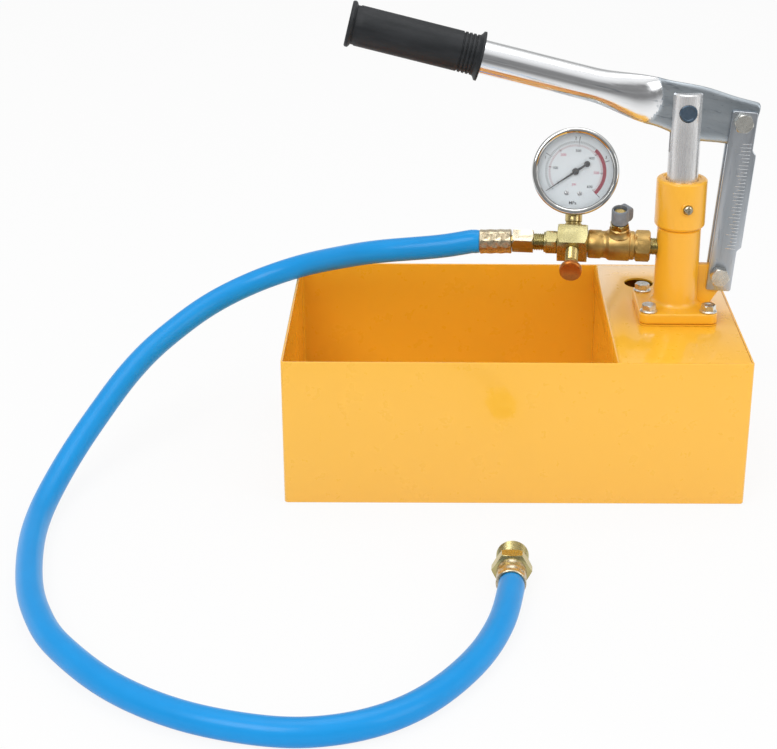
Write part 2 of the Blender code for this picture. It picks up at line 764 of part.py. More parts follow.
def build_plunger():
    """Plunger with its fork, and the lever's pin through it, on the sliding axis."""
    slide = pivot("plunger_slide_axis", PUMP_FOOT + Vector((0, 0, PIN_HEIGHT)))
    radius = PLUNGER_D / 2
    fork = FORK_D / 2
    low = PLUNGER_BOTTOM - PIN_HEIGHT
    high = PLUNGER_TOP - PIN_HEIGHT
    step = FORK_START - PIN_HEIGHT
    plunger = turned("plunger_rod", (
        (0, high), (fork - PLUNGER_CHAMFER, high), (fork, high - PLUNGER_CHAMFER), (fork, step),
        (radius, step - (radius - fork)), (radius, low + PLUNGER_CHAMFER),
        (radius - PLUNGER_CHAMFER, low), (0, low)), MEDIUM)
    place(plunger, slide.matrix_world.translation, parent=slide)
    slot = block("fork_slot", (-PLUNGER_D, -FORK_SLOT / 2, -FORK_SLOT_BELOW_PIN),
                 (PLUNGER_D, FORK_SLOT / 2, high + CUT_OVERRUN))
    place(slot, slide.matrix_world.translation, parent=slide)
    cut(plunger, slot)
    head = PIN_D / 2
    shank = PIN_SHANK_D / 2
    shoulder = FORK_SLOT / 2
    drill = turned("fork_pin_hole", (
        (0, PLUNGER_D), (head + RUN_GAP, PLUNGER_D), (head + RUN_GAP, 0), (shank + RUN_GAP, 0),
        (shank + RUN_GAP, -PLUNGER_D), (0, -PLUNGER_D)), SMALL)
    place(drill, slide.matrix_world.translation, (0, -1, 0), (1, 0, 0), slide)
    cut(plunger, drill)
    finish(plunger, "polished_steel")

    half = fork + PIN_PROUD
    edge = PLUNGER_CHAMFER / 2
    pin = turned("lever_pin", (
        (0, half), (head - edge, half), (head, half - edge), (head, shoulder), (shank, shoulder),
        (shank, edge - half), (shank - edge, -half), (0, -half)), SMALL)
    place(pin, slide.matrix_world.translation, (0, -1, 0), (1, 0, 0), slide)
    finish(pin, "dark_steel")


def hex_bolt(name, diameter, across_flats, head, length, washer_d=0, washer=0):
    """Hexagon-head bolt along +Z, its head above zero and its shank below."""
    radius = diameter / 2
    if washer:
        profile = ((0, head / 2 + washer), (across_flats / 4, head / 2 + washer), (across_flats / 4, washer),
                   (washer_d / 2, washer), (washer_d / 2, 0), (radius, 0), (radius, -length), (0, -length))
    else:
        profile = ((0, head / 2), (radius, head / 2), (radius, -length), (0, -length))
    bolt = turned(name, profile, SMALL)
    low = washer / 2
    crown = hexagon(name + "_head", across_flats, low, washer + head, head * 0.14)
    crown.parent = bolt
    join(bolt, crown)
    return bolt


def hex_nut(name, diameter, across_flats, height, segments):
    """Hexagon nut from zero to its height along +Z."""
    nut = hexagon(name, across_flats, 0, height, height * 0.12)
    drill = rod(name + "_bore", diameter / 2 + RUN_GAP, -CUT_OVERRUN, height + CUT_OVERRUN, segments)
    drill.parent = nut
    cut(nut, drill)
    return nut


def build_flange_fasteners():
    """Four bolts down through flange, gasket and deck, with nuts under the deck."""
    under_deck = -SHEET - GAP
    length = FLANGE_TOP + GAP - under_deck + M6_NUT + M6_TAIL
    for i, (x, y) in enumerate(bolt_places()):
        bolt = hex_bolt("flange_bolt_" + str(i + 1), M6_D, M6_AF, M6_HEAD, length, M6_WASHER_D, M6_WASHER)
        place(bolt, (x, y, TANK_HEIGHT + FLANGE_TOP + GAP))
        finish(bolt, "zinc_plate")
        nut = hex_nut("flange_nut_" + str(i + 1), M6_D, M6_AF, M6_NUT, SMALL)
        place(nut, (x, y, TANK_HEIGHT + under_deck), (0, 0, -1))
        finish(nut, "zinc_plate")


def build_link():
    """Folded channel link and its two bolts, on the pivot at the lug."""
    hinge = pivot("link_foot_axis", LINK_FOOT, (0, 1, 0), (1, 0, 0))
    upward = (LINK_TOP - LINK_FOOT).normalized()
    across = Vector((upward.z, 0, -upward.x))
    outer = LINK_INSIDE / 2 + LINK_SHEET
    left = LINK_OFFSET - LINK_WIDTH / 2
    right = LINK_OFFSET + LINK_WIDTH / 2
    low = -LINK_FOOT_MARGIN
    high = LINK_LENGTH + LINK_TOP_MARGIN
    bulge = right + LINK_WEB_PROUD
    outline = [(left, low), (right, low), (right, LINK_WEB_LOW), (bulge, LINK_WEB_LOW + LINK_WEB_PROUD),
               (bulge, LINK_WEB_HIGH - LINK_WEB_PROUD), (right, LINK_WEB_HIGH), (right, high), (left, high)]
    link = slab("link_channel", outline, -outer, outer)
    place(link, LINK_FOOT, (0, -1, 0), across, hinge)
    bevel(link, LINK_CORNER)
    web_inner = bulge - LINK_SHEET
    half = LINK_INSIDE / 2
    trough = slab("link_trough", (
        (left - CUT_OVERRUN, low - CUT_OVERRUN), (bulge + CUT_OVERRUN, low - CUT_OVERRUN),
        (bulge + CUT_OVERRUN, LINK_WEB_LOW + LINK_WEB_PROUD),
        (web_inner, LINK_WEB_LOW + LINK_WEB_PROUD * 2),
        (web_inner, LINK_WEB_HIGH - LINK_WEB_PROUD * 2),
        (bulge + CUT_OVERRUN, LINK_WEB_HIGH - LINK_WEB_PROUD),
        (bulge + CUT_OVERRUN, high + CUT_OVERRUN), (left - CUT_OVERRUN, high + CUT_OVERRUN)), -half, half)
    place(trough, LINK_FOOT, (0, -1, 0), across, hinge)
    cut(link, trough)
    reach = outer + CUT_OVERRUN
    for name, point in (("foot", LINK_FOOT), ("top", LINK_TOP)):
        drill = rod("link_hole_" + name, M8_D / 2 + RUN_GAP, -reach, reach, SMALL)
        place(drill, point, (0, 1, 0), (1, 0, 0), hinge)
        cut(link, drill)
    finish(link, "zinc_plate")

    length = outer * 2 + GAP * 2 + M8_NUT + M8_TAIL
    for name, point in (("foot", LINK_FOOT), ("top", LINK_TOP)):
        bolt = hex_bolt("link_" + name + "_bolt", M8_D, M8_AF, M8_HEAD, length)
        place(bolt, point - Vector((0, outer + GAP, 0)), (0, -1, 0), (1, 0, 0), hinge)
        finish(bolt, "zinc_plate")
        nut = hex_nut("link_" + name + "_nut", M8_D, M8_AF, M8_NUT, SMALL)
        place(nut, point + Vector((0, outer + GAP, 0)), (0, 1, 0), (1, 0, 0), hinge)
        finish(nut, "zinc_plate")


def smooth_share(share):
    """Ease in and out between zero and one."""
    held = min(max(share, 0), 1)
    return held * held * (3 - 2 * held)


def lever_section(distance):
    """Half height, half thickness, drop and squareness of the lever, a distance out from its pin."""
    radius = LEVER_TUBE_D / 2
    share = (distance - BLADE_END) / FOLD_LENGTH
    tall = BLADE_HALF_HEIGHT + (radius - BLADE_HALF_HEIGHT) * smooth_share(share)
    bulge = smooth_share(1 - abs(distance - BULGE_AT) / BULGE_REACH)
    tall += (BULGE_LOW + BULGE_HIGH) / 2 * bulge
    thick = BLADE_THICK / 2 + (radius - BLADE_THICK / 2) * smooth_share(share * FOLD_THICK_RATE)
    drop = BLADE_DROP * (1 - smooth_share(share)) + (BULGE_LOW - BULGE_HIGH) / 2 * bulge
    square = ROUND_POWER + EDGE_POWER * (1 - smooth_share(share * FOLD_SQUARE_RATE))
    return tall, thick, drop, square


def super_ellipse(half_tall, half_thick, square, count):
    """Points round a section that runs from an ellipse to a soft rectangle."""
    points = []
    for i in range(count):
        angle = 2 * math.pi * (i + 0.5) / count
        c = math.cos(angle)
        s = math.sin(angle)
        grow = (abs(c) ** square + abs(s) ** square) ** (-1 / square)
        points.append((half_thick * c * grow, half_tall * s * grow))
    return points


def build_lever():
    """Lever bar with its flattened end, and the rubber grip, on the axis of the link's top bolt."""
    hinge = pivot("lever_axis", LINK_TOP, (0, 1, 0), (1, 0, 0))
    axis_point = PIN_POINT + LEVER_UP * LEVER_AXIS_ABOVE_PIN
    corner = BLADE_HALF_HEIGHT * TIP_CORNER_SHARE
    bulge_steps = 4
    stations = [-BLADE_TIP, -BLADE_TIP + corner]
    stations += [BULGE_AT + BULGE_REACH * i / bulge_steps for i in range(1 - bulge_steps, bulge_steps)]
    stations += [BLADE_END]
    fold_steps = 9
    stations += [BLADE_END + FOLD_LENGTH * (i + 1) / fold_steps for i in range(fold_steps)]
    stations += [LEVER_LENGTH]
    builder = bmesh.new()
    rows = []
    for i, distance in enumerate(stations):
        tall, thick, drop, square = lever_section(distance)
        if i == 0:
            tall -= BLADE_HALF_HEIGHT * TIP_CORNER_SHARE / 2
        row = []
        for y, z in super_ellipse(tall, thick, square, LEVER_SIDES):
            row.append(builder.verts.new((y, z - drop, distance)))
        rows.append(row)
    for first, second in zip(rows, rows[1:]):
        for i in range(LEVER_SIDES):
            j = (i + 1) % LEVER_SIDES
            builder.faces.new((first[i], first[j], second[j], second[i]))
    builder.faces.new(rows[0])
    builder.faces.new(rows[-1])
    lever = add_object("lever_bar", builder)
    place(lever, axis_point, LEVER_OUT, (0, 1, 0), hinge)
    flip = LEVER_OUT.cross(Vector((0, 1, 0))).dot(LEVER_UP)
    if flip < 0:
        lever.matrix_world = axes(axis_point, LEVER_OUT, (0, -1, 0))
        lever.matrix_parent_inverse = hinge.matrix_world.inverted()

    bore_start = BLADE_END + FOLD_LENGTH + BORE_CLEAR_OF_FOLD
    bore = rod("lever_bore", LEVER_TUBE_D / 2 - LEVER_WALL, bore_start, LEVER_LENGTH + CUT_OVERRUN, SMALL)
    place(bore, axis_point, LEVER_OUT, (0, 1, 0), hinge)
    cut(lever, bore)
    reach = BLADE_THICK / 2 + CUT_OVERRUN
    bolt_hole = rod("lever_bolt_hole", M8_D / 2 + RUN_GAP, -reach, reach, SMALL)
    place(bolt_hole, LINK_TOP, (0, 1, 0), (1, 0, 0), hinge)
    cut(lever, bolt_hole)
    slot_radius = PIN_SHANK_D / 2 + RUN_GAP + SLOT_SIDE_PLAY
    outline = arc(-SLOT_HALF_TRAVEL, 0, slot_radius, 90, 270, ARC_STEPS * 2)
    outline += arc(SLOT_HALF_TRAVEL, 0, slot_radius, -90, 90, ARC_STEPS * 2)
    slot = slab("lever_pin_slot", outline, -reach, reach)
    place(slot, PIN_POINT + LEVER_OUT * SLOT_SHIFT - LEVER_UP * SLOT_DROP, (0, 1, 0), LEVER_OUT, hinge)
    cut(lever, slot)
    finish(lever, "zinc_plate")

    build_grip(axis_point, hinge)


def build_grip(axis_point, hinge):
    """Rubber grip, closed at its outer end, pushed over the lever's tube."""
    outer = GRIP_D / 2
    inner = LEVER_TUBE_D / 2 + GAP
    end = LEVER_LENGTH + GAP + GRIP_END_WALL
    start = end - GRIP_LENGTH
    small = GRIP_FLANGE / 4
    profile = [(0, end), (GRIP_OUTER_FLANGE_D / 2 - small, end), (GRIP_OUTER_FLANGE_D / 2, end - small),
               (GRIP_OUTER_FLANGE_D / 2, end - GRIP_FLANGE), (outer, end - GRIP_FLANGE)]
    first_ring = start + GRIP_FLANGE + GRIP_RING_PITCH * GRIP_RING_COUNT
    for i in range(GRIP_RING_COUNT):
        height = first_ring - i * GRIP_RING_PITCH
        profile += [(outer, height), (outer - GRIP_RING_DEPTH, height - GRIP_RING_PITCH / 4),
                    (outer, height - GRIP_RING_PITCH / 2)]
    flange = GRIP_INNER_FLANGE_D / 2
    profile += [(outer, start + GRIP_FLANGE), (flange, start + GRIP_FLANGE * 0.6), (flange, start),
                (inner, start), (inner, LEVER_LENGTH + GAP), (0, LEVER_LENGTH + GAP)]
    grip = turned("grip", profile, MEDIUM)
    place(grip, axis_point, LEVER_OUT, (0, 1, 0), hinge)
    finish(grip, "black_rubber")


def build_suction():
    """Suction valve screwed up through the deck, its ball, and the tube and strainer below it."""
    seat_level = -SHEET
    thread = SUCTION_THREAD_D / 2
    chamber = SUCTION_CHAMBER_D / 2
    seat = SUCTION_SEAT_D / 2
    hex_top = -SHEET - GAP
    hex_low = hex_top - SUCTION_HEX
    spigot_low = hex_low - SUCTION_SPIGOT
    body = turned("suction_valve_body", (
        (thread, SUCTION_TOP), (thread, hex_top - GAP), (SUCTION_SPIGOT_D / 2, hex_top - GAP),
        (SUCTION_SPIGOT_D / 2, spigot_low), (seat, spigot_low), (seat, seat_level),
        (chamber, seat_level), (chamber, SUCTION_TOP - SUCTION_LIP),
        (SUCTION_LIP_D / 2, SUCTION_TOP - SUCTION_LIP),
        (SUCTION_LIP_D / 2, SUCTION_TOP)), MEDIUM, closed=True)
    place(body, PUMP_FOOT)
    collar = hexagon("suction_hex", SUCTION_HEX_AF, hex_low, hex_top)
    place(collar, PUMP_FOOT)
    collar_bore = rod("suction_hex_bore", (seat + SUCTION_SPIGOT_D / 2) / 2, hex_low - CUT_OVERRUN,
                      hex_top + CUT_OVERRUN, SMALL)
    place(collar_bore, PUMP_FOOT)
    cut(collar, collar_bore)
    join(body, collar)
    finish(body, "brass")

    ball_radius = SUCTION_BALL_D / 2
    rest = math.sqrt(ball_radius ** 2 - seat ** 2) + RUN_GAP
    lift = pivot("suction_ball_axis", PUMP_FOOT + Vector((0, 0, seat_level + rest)))
    ball = turned("suction_ball", ball_profile(ball_radius), TINY)
    place(ball, lift.matrix_world.translation, parent=lift)
    finish(ball, "stainless")

    floor = SHEET - TANK_HEIGHT
    strainer_low = floor + STRAINER_OFF_FLOOR
    strainer_top = strainer_low + STRAINER_HEIGHT
    tube_inner = SUCTION_SPIGOT_D / 2 + RUN_GAP
    tube_low = strainer_top - STRAINER_HEIGHT / 2
    pipe = tube("suction_tube", SUCTION_TUBE_D / 2, tube_inner, tube_low, hex_low - GAP, SMALL)
    place(pipe, PUMP_FOOT)
    finish(pipe, "stainless")

    outer = STRAINER_D / 2
    grip = SUCTION_TUBE_D / 2 + RUN_GAP
    inside = outer - STRAINER_WALL
    strainer = turned("suction_strainer", (
        (grip, strainer_top), (outer, strainer_top), (outer, strainer_low), (0, strainer_low),
        (0, strainer_low + STRAINER_WALL), (inside, strainer_low + STRAINER_WALL),
        (inside, strainer_top - STRAINER_WALL), (grip, strainer_top - STRAINER_WALL)), MEDIUM, closed=True)
    place(strainer, PUMP_FOOT)
    half = STRAINER_SLOT / 2
    for i in range(3):
        slot = block("strainer_slot_" + str(i), (-STRAINER_D, -half, strainer_low + STRAINER_WALL * 2),
                     (STRAINER_D, half, tube_low - STRAINER_WALL))
        turn = math.radians(60 * i)
        place(slot, PUMP_FOOT, (0, 0, 1), (math.cos(turn), math.sin(turn), 0))
        cut(strainer, slot)
    finish(strainer, "stainless")


def ball_profile(radius, steps=7):
    """Half circle for a turned ball, top to bottom."""
    points = []
    for i in range(steps + 1):
        angle = math.pi * i / steps
        points.append((radius * math.sin(angle) if 0 < i < steps else 0, radius * math.cos(angle)))
    return points


def build_outlet_nipple():
    """Short threaded nipple from the cylinder's side into the ball valve."""
    end = VALVE_START + (VALVE_HEX_END - VALVE_START) * 0.6
    nipple = tube("outlet_nipple", THREAD_D / 2, WATERWAY_D / 2, NIPPLE_START, end, MEDIUM)
    place_on_manifold(nipple, 0)
    finish(nipple, "brass")


def build_valve():
    """Quarter-turn ball valve: body, end cap, seats, and the ball, stem and handle that turn."""
    cavity = VALVE_CAVITY_D / 2
    port = VALVE_PORT_D / 2
    thread = THREAD_D / 2 + GAP
    outer = VALVE_BODY_D / 2
    left = VALVE_LEFT_D / 2
    seat_reach = VALVE_BALL_D / 2 * 0.62
    cavity_end = VALVE_CENTRE + seat_reach + VALVE_SEAT + GAP * 2
    stub_end = VALVE_END - TEE_STUB - GAP
    shoulder = 0.0012
    body = turned("valve_body", (
        (outer - shoulder, VALVE_HEX_END + GAP), (outer, VALVE_HEX_END + GAP + shoulder),
        (outer, VALVE_ROUND_END - shoulder), (left, VALVE_ROUND_END), (left, VALVE_END - shoulder / 2),
        (left - shoulder / 2, VALVE_END),
        (thread, VALVE_END), (thread, stub_end), (port, stub_end), (port, cavity_end),
        (cavity, cavity_end), (cavity, VALVE_HEX_END + GAP)), MEDIUM, closed=True)
    place_on_manifold(body, 0)
    stem_way = round_manifold(STEM_TILT_DEG)
    centre = on_manifold(VALVE_CENTRE)
    bonnet = rod("valve_bonnet", BONNET_D / 2, (cavity + outer) / 2, BONNET_TOP, SMALL)
    place(bonnet, centre, stem_way, MANIFOLD_ALONG)
    join(body, bonnet)
    stem_hole = rod("valve_stem_hole", STEM_D / 2 + RUN_GAP, 0, BONNET_TOP + CUT_OVERRUN, SMALL)
    place(stem_hole, centre, stem_way, MANIFOLD_ALONG)
    cut(body, stem_hole)
    finish(body, "brass")

    cap_insert = VALVE_CENTRE - seat_reach - VALVE_SEAT - GAP * 2
    cap_neck = VALVE_START + (VALVE_HEX_END - VALVE_START) * 0.6 + GAP
    cap = hexagon("valve_end_cap", VALVE_HEX_AF, VALVE_START, VALVE_HEX_END, 0.0008)
    place_on_manifold(cap, 0)
    insert = rod("valve_cap_insert", cavity - RUN_GAP, VALVE_HEX_END - shoulder, cap_insert, MEDIUM)
    place_on_manifold(insert, 0)
    join(cap, insert)
    bores = turned("valve_cap_bores", (
        (0, VALVE_START - CUT_OVERRUN), (thread, VALVE_START - CUT_OVERRUN), (thread, cap_neck),
        (port, cap_neck), (port, cap_insert + CUT_OVERRUN), (0, cap_insert + CUT_OVERRUN))[::-1], SMALL)
    place_on_manifold(bores, 0)
    cut(cap, bores)
    finish(cap, "brass")

    for name, side in (("valve_seat_inlet", -1), ("valve_seat_outlet", 1)):
        near = VALVE_CENTRE + side * (seat_reach + GAP)
        far = near + side * VALVE_SEAT
        seat_outer = cavity - RUN_GAP
        contact = math.sqrt((VALVE_BALL_D / 2) ** 2 - seat_reach ** 2) + GAP
        seat = tube(name, seat_outer, contact, min(near, far), max(near, far), SMALL)
        place_on_manifold(seat, 0)
        finish(seat, "seal_white")

    turn = math.radians(HANDLE_REST_DEG)
    across = MANIFOLD_ALONG * math.cos(turn) + stem_way.cross(MANIFOLD_ALONG) * math.sin(turn)
    hinge = pivot("valve_stem_axis", centre, stem_way, across)
    ball = turned("valve_ball", ball_profile(VALVE_BALL_D / 2, 9), SMALL)
    place(ball, centre, stem_way, across, hinge)
    ball_port = rod("valve_ball_port", port, -VALVE_BALL_D, VALVE_BALL_D, TINY)
    place(ball_port, centre, across, stem_way, hinge)
    cut(ball, ball_port)
    finish(ball, "chrome")

    stem_low = VALVE_BALL_D / 2 + RUN_GAP
    handle_top = HANDLE_LOW + HANDLE_HEIGHT * 0.5
    nut_top = handle_top + GAP + HANDLE_NUT
    stem = rod("valve_stem", STEM_D / 2, stem_low, nut_top + GAP, SMALL)
    place(stem, centre, stem_way, across, hinge)
    finish(stem, "brass")

    gland_low = BONNET_TOP + GAP
    gland = hex_nut("valve_gland_nut", STEM_D, GLAND_NUT_AF, GLAND_NUT, SMALL)
    place(gland, centre + stem_way * gland_low, stem_way, MANIFOLD_ALONG)
    finish(gland, "brass")

    hub = HANDLE_HUB_D / 2
    low = max(HANDLE_LOW, gland_low + GLAND_NUT + GAP)
    top = low + HANDLE_HEIGHT
    handle = rod("valve_handle", hub, low, top, SMALL)
    place(handle, centre, stem_way, across, hinge)
    half_thick = HANDLE_THICK / 2
    round_end = HANDLE_THICK * HANDLE_END_SHARE
    outline = ((0, low), (round_end - HANDLE_REACH, low), (-HANDLE_REACH, low + round_end),
               (-HANDLE_REACH, top - round_end), (round_end - HANDLE_REACH, top), (0, top))
    wing = slab("valve_wing", outline, -half_thick, half_thick)
    place(wing, centre, across.cross(stem_way), across, hinge)
    join(handle, wing)
    handle_hole = rod("valve_handle_hole", STEM_D / 2 + RUN_GAP, 0, top + CUT_OVERRUN, SMALL)
    place(handle_hole, centre, stem_way, across, hinge)
    cut(handle, handle_hole)
    pocket_radius = HANDLE_NUT_AF / 2 * HEX_CORNER_RATIO + GAP * 2
    pocket = rod("valve_handle_pocket", pocket_radius, handle_top, top + CUT_OVERRUN, SMALL)
    place(pocket, centre, stem_way, across, hinge)
    cut(handle, pocket)
    finish(handle, "grey_coating")

    nut = hex_nut("valve_handle_nut", STEM_D, HANDLE_NUT_AF, HANDLE_NUT, SMALL)
    place(nut, centre + stem_way * (handle_top + GAP), stem_way, across, hinge)
    finish(nut, "brass")


def build_tee():
    """Tee of hexagon bar, with the discharge ball in its chamber."""
    tee = hexagon("tee_block", TEE_AF, VALVE_END + GAP, TEE_END, TEE_CHAMFER, TEE_FACE_DEG)
    place_on_tee(tee)
    stub_start = VALVE_END - TEE_STUB
    stub = rod("tee_stub", THREAD_D / 2, stub_start, VALVE_END + TEE_CHAMFER * 2, MEDIUM)
    place_on_manifold(stub, 0)
    join(tee, stub)
    way = WATERWAY_D / 2
    chamber = CHECK_CHAMBER_D / 2
    thread = THREAD_D / 2 + GAP
    thread_from = TEE_END - ADAPTER_INSERT - GAP
    bores = turned("tee_bores", (
        (0, TEE_END + CUT_OVERRUN), (thread, TEE_END + CUT_OVERRUN), (thread, thread_from),
        (chamber, thread_from), (chamber, CHECK_SEAT_AT), (way, CHECK_SEAT_AT),
        (way, stub_start - CUT_OVERRUN), (0, stub_start - CUT_OVERRUN)), SMALL)
    place_on_manifold(bores, 0)
    cut(tee, bores)
    centre = on_manifold(TEE_CENTRE)
    half = TEE_AF / 2
    gauge_port = turned("tee_gauge_port", (
        (0, half + CUT_OVERRUN), (GAUGE_STEM_D / 2 - GAP, half + CUT_OVERRUN),
        (GAUGE_STEM_D / 2 - GAP, half - GAUGE_PORT_DEPTH), (RELEASE_SEAT_D / 2, half - GAUGE_PORT_DEPTH),
        (RELEASE_SEAT_D / 2, 0), (0, 0)), SMALL)
    place(gauge_port, centre, round_manifold(GAUGE_TILT_DEG), MANIFOLD_ALONG)
    cut(tee, gauge_port)
    release_port = turned("tee_release_port", (
        (0, half + CUT_OVERRUN), (RELEASE_D / 2 + RUN_GAP, half + CUT_OVERRUN),
        (RELEASE_D / 2 + RUN_GAP, half - RELEASE_PORT_DEPTH), (RELEASE_SEAT_D / 2, half - RELEASE_PORT_DEPTH),
        (RELEASE_SEAT_D / 2, 0), (0, 0)), SMALL)
    place(release_port, centre, round_manifold(RELEASE_TILT_DEG), MANIFOLD_ALONG)
    cut(tee, release_port)
    finish(tee, "brass")

    ball_at = CHECK_SEAT_AT + check_ball_rest()
    lift = pivot("discharge_ball_axis", on_manifold(ball_at), MANIFOLD_ALONG, MANIFOLD_FRONT)
    ball = turned("discharge_ball", ball_profile(CHECK_BALL_D / 2), TINY)
    place_on_manifold(ball, ball_at, lift)
    finish(ball, "stainless")


def check_ball_rest():
    """How far past its seat the discharge ball's middle rests."""
    return math.sqrt((CHECK_BALL_D / 2) ** 2 - (WATERWAY_D / 2) ** 2) + RUN_GAP


def place_on_tee(node):
    """Stand a hexagon on the manifold so that its flats take the gauge and the screw."""
    side = MANIFOLD_FRONT
    third = MANIFOLD_ALONG.cross(side)
    turn = 1 if third.z > 0 else -1
    node.matrix_world = axes(on_manifold(0), MANIFOLD_ALONG, MANIFOLD_FRONT)
    if turn < 0:
        node.rotation_mode = "QUATERNION"
        face = math.radians(2 * TEE_FACE_DEG)
        node.matrix_world = node.matrix_world @ Matrix.Rotation(-face, 4, "Z")


def build_release_screw():
    """Release screw and its disc knob on the tee's front face."""
    way = round_manifold(RELEASE_TILT_DEG)
    centre = on_manifold(TEE_CENTRE)
    slide = pivot("release_screw_axis", centre, way, MANIFOLD_ALONG)
    radius = RELEASE_D / 2
    tip = RELEASE_TIP_D / 2
    half_tee = TEE_AF / 2
    cone = half_tee - RELEASE_PORT_DEPTH + (radius - tip) + GAP * 3
    end = RELEASE_END - KNOB_THICK + KNOB_BORE_DEPTH - GAP
    stem = turned("release_stem", ((0, end), (radius, end), (radius, cone), (tip, RELEASE_TIP),
                                   (0, RELEASE_TIP)), SMALL)
    place(stem, centre, way, MANIFOLD_ALONG, slide)
    finish(stem, "brass")
    hinge = pivot("release_knob_axis", centre + way * RELEASE_END, way, MANIFOLD_ALONG)
    rim = KNOB_D / 2
    low = RELEASE_END - KNOB_THICK
    knob = turned("release_knob", (
        (0, RELEASE_END), (rim - KNOB_CHAMFER, RELEASE_END), (rim, RELEASE_END - KNOB_CHAMFER),
        (rim, low + KNOB_CHAMFER), (rim - KNOB_CHAMFER, low), (radius + RUN_GAP, low),
        (radius + RUN_GAP, low + KNOB_BORE_DEPTH), (0, low + KNOB_BORE_DEPTH)), MEDIUM)
    place(knob, centre, way, MANIFOLD_ALONG, hinge)
    finish(knob, "copper_tint")


def gauge_axes():
    """Centre of the gauge, the way its face looks and its upward direction."""
    upward = round_manifold(GAUGE_TILT_DEG)
    facing = round_manifold(GAUGE_TILT_DEG - 90)
    centre = on_manifold(TEE_CENTRE) + upward * GAUGE_REACH
    return centre, facing, upward


def build_gauge():
    """Dial gauge: socket, case, bezel, window, dial, Bourdon tube and pointer."""
    centre, facing, upward = gauge_axes()
    right = upward.cross(facing)
    case_r = GAUGE_CASE_D / 2
    inside = case_r - GAUGE_CASE_WALL
    rim = GAUGE_FRONT - GAUGE_LIP - GAP
    back = -GAUGE_BACK
    soft = GAUGE_CASE_WALL * 2
    case = turned("gauge_case", (
        (case_r, rim), (case_r, back + soft), (case_r - soft, back), (0, back),
        (0, back + GAUGE_CASE_WALL), (inside - soft, back + GAUGE_CASE_WALL),
        (inside, back + GAUGE_CASE_WALL + soft), (inside, rim)), FINE, closed=True)
    place(case, centre, facing, right)
    socket_hole = rod("gauge_socket_hole", GAUGE_STEM_D / 2 + GAP, 0, GAUGE_CASE_D, MEDIUM)
    place(socket_hole, centre, -upward, right)
    cut(case, socket_hole)
    finish(case, "stainless")

    bezel_r = GAUGE_BEZEL_D / 2
    lip = case_r - GAUGE_LIP_INSIDE
    skirt = GAUGE_FRONT - GAUGE_LIP * 1.65
    shoulder = GAUGE_LIP * 0.45
    bezel = turned("gauge_bezel", (
        (bezel_r - shoulder, GAUGE_FRONT), (bezel_r, GAUGE_FRONT - shoulder), (bezel_r, skirt),
        (case_r + GAP, skirt), (case_r + GAP, GAUGE_GLASS_BACK + GAUGE_GLASS + GAP),
        (lip, GAUGE_GLASS_BACK + GAUGE_GLASS + GAP), (lip, GAUGE_FRONT)), FINE, closed=True)
    place(bezel, centre, facing, right)
    finish(bezel, "chrome")

    window = rod("gauge_window", inside - GAP, GAUGE_GLASS_BACK, GAUGE_GLASS_BACK + GAUGE_GLASS, FINE)
    place(window, centre, facing, right)
    finish(window, "clear_window")

    dial_back = GAUGE_DIAL_FRONT - GAUGE_DIAL_THICK
    shaft = POINTER_SHAFT_D / 2
    dial = tube("gauge_dial", inside - GAP, shaft + GAP, dial_back, GAUGE_DIAL_FRONT, FINE)
    place(dial, centre, facing, right)
    finish(dial, "white_dial")

    build_gauge_socket(centre, facing, upward, right, dial_back)
    build_bourdon_tube(centre, facing, upward)
    build_pointer(centre, facing, upward, dial_back)


def build_gauge_socket(centre, facing, upward, right, dial_back):
    """Brass socket: threaded end in the tee, stem through the case, and a block behind the dial."""
    thread_end = GAUGE_REACH - TEE_AF / 2 + GAUGE_PORT_DEPTH - GAP
    stem = GAUGE_STEM_D / 2 - GAP * 2
    block_top = POINTER_SHAFT_D
    width = GAUGE_BLOCK / 2
    start = GAUGE_CASE_D / 4
    neck = dial_back - GAP * 2
    outside = GAUGE_CASE_D / 2 - GAUGE_CASE_WALL + GAP
    socket = turned("gauge_socket", (
        (0, start), (neck, start), (neck, outside), (stem, outside), (stem, thread_end),
        (RELEASE_SEAT_D / 2, thread_end), (RELEASE_SEAT_D / 2, outside), (0, outside)), MEDIUM)
    place(socket, centre, -upward, right)
    low = -GAUGE_BACK + GAUGE_CASE_WALL + GAP * 2
    core_end = BOURDON_R + BOURDON_TUBE_D / 2
    core = block("gauge_core", (-width, block_top, low), (width, core_end, dial_back - GAP))
    place(core, centre, facing, right)
    flip = axes(centre, facing, right).to_3x3() @ Vector((0, 1, 0))
    if flip.dot(upward) > 0:
        core.matrix_world = axes(centre, facing, -right)
    join(socket, core)
    finish(socket, "brass")


def build_bourdon_tube(centre, facing, upward):
    """Curved tube behind the dial that bends as the pressure rises."""
    wire = bpy.data.curves.new("gauge_bourdon", "CURVE")
    wire.dimensions = "3D"
    wire.bevel_depth = BOURDON_TUBE_D / 2
    wire.bevel_resolution = 1
    wire.use_fill_caps = True
    line = wire.splines.new("POLY")
    line.points.add(BOURDON_POINTS - 1)
    start_deg = 270 + math.degrees(math.asin(BOURDON_START / BOURDON_R))
    for i in range(BOURDON_POINTS):
        angle = math.radians(start_deg + BOURDON_SWEEP_DEG * i / (BOURDON_POINTS - 1))
        line.points[i].co = (BOURDON_R * math.cos(angle), BOURDON_R * math.sin(angle), 0, 1)
    bourdon = bpy.data.objects.new("gauge_bourdon", wire)
    bpy.context.scene.collection.objects.link(bourdon)
    place(bourdon, centre - facing * BOURDON_DEPTH, facing, upward.cross(facing))
    finish(bourdon, "brass")


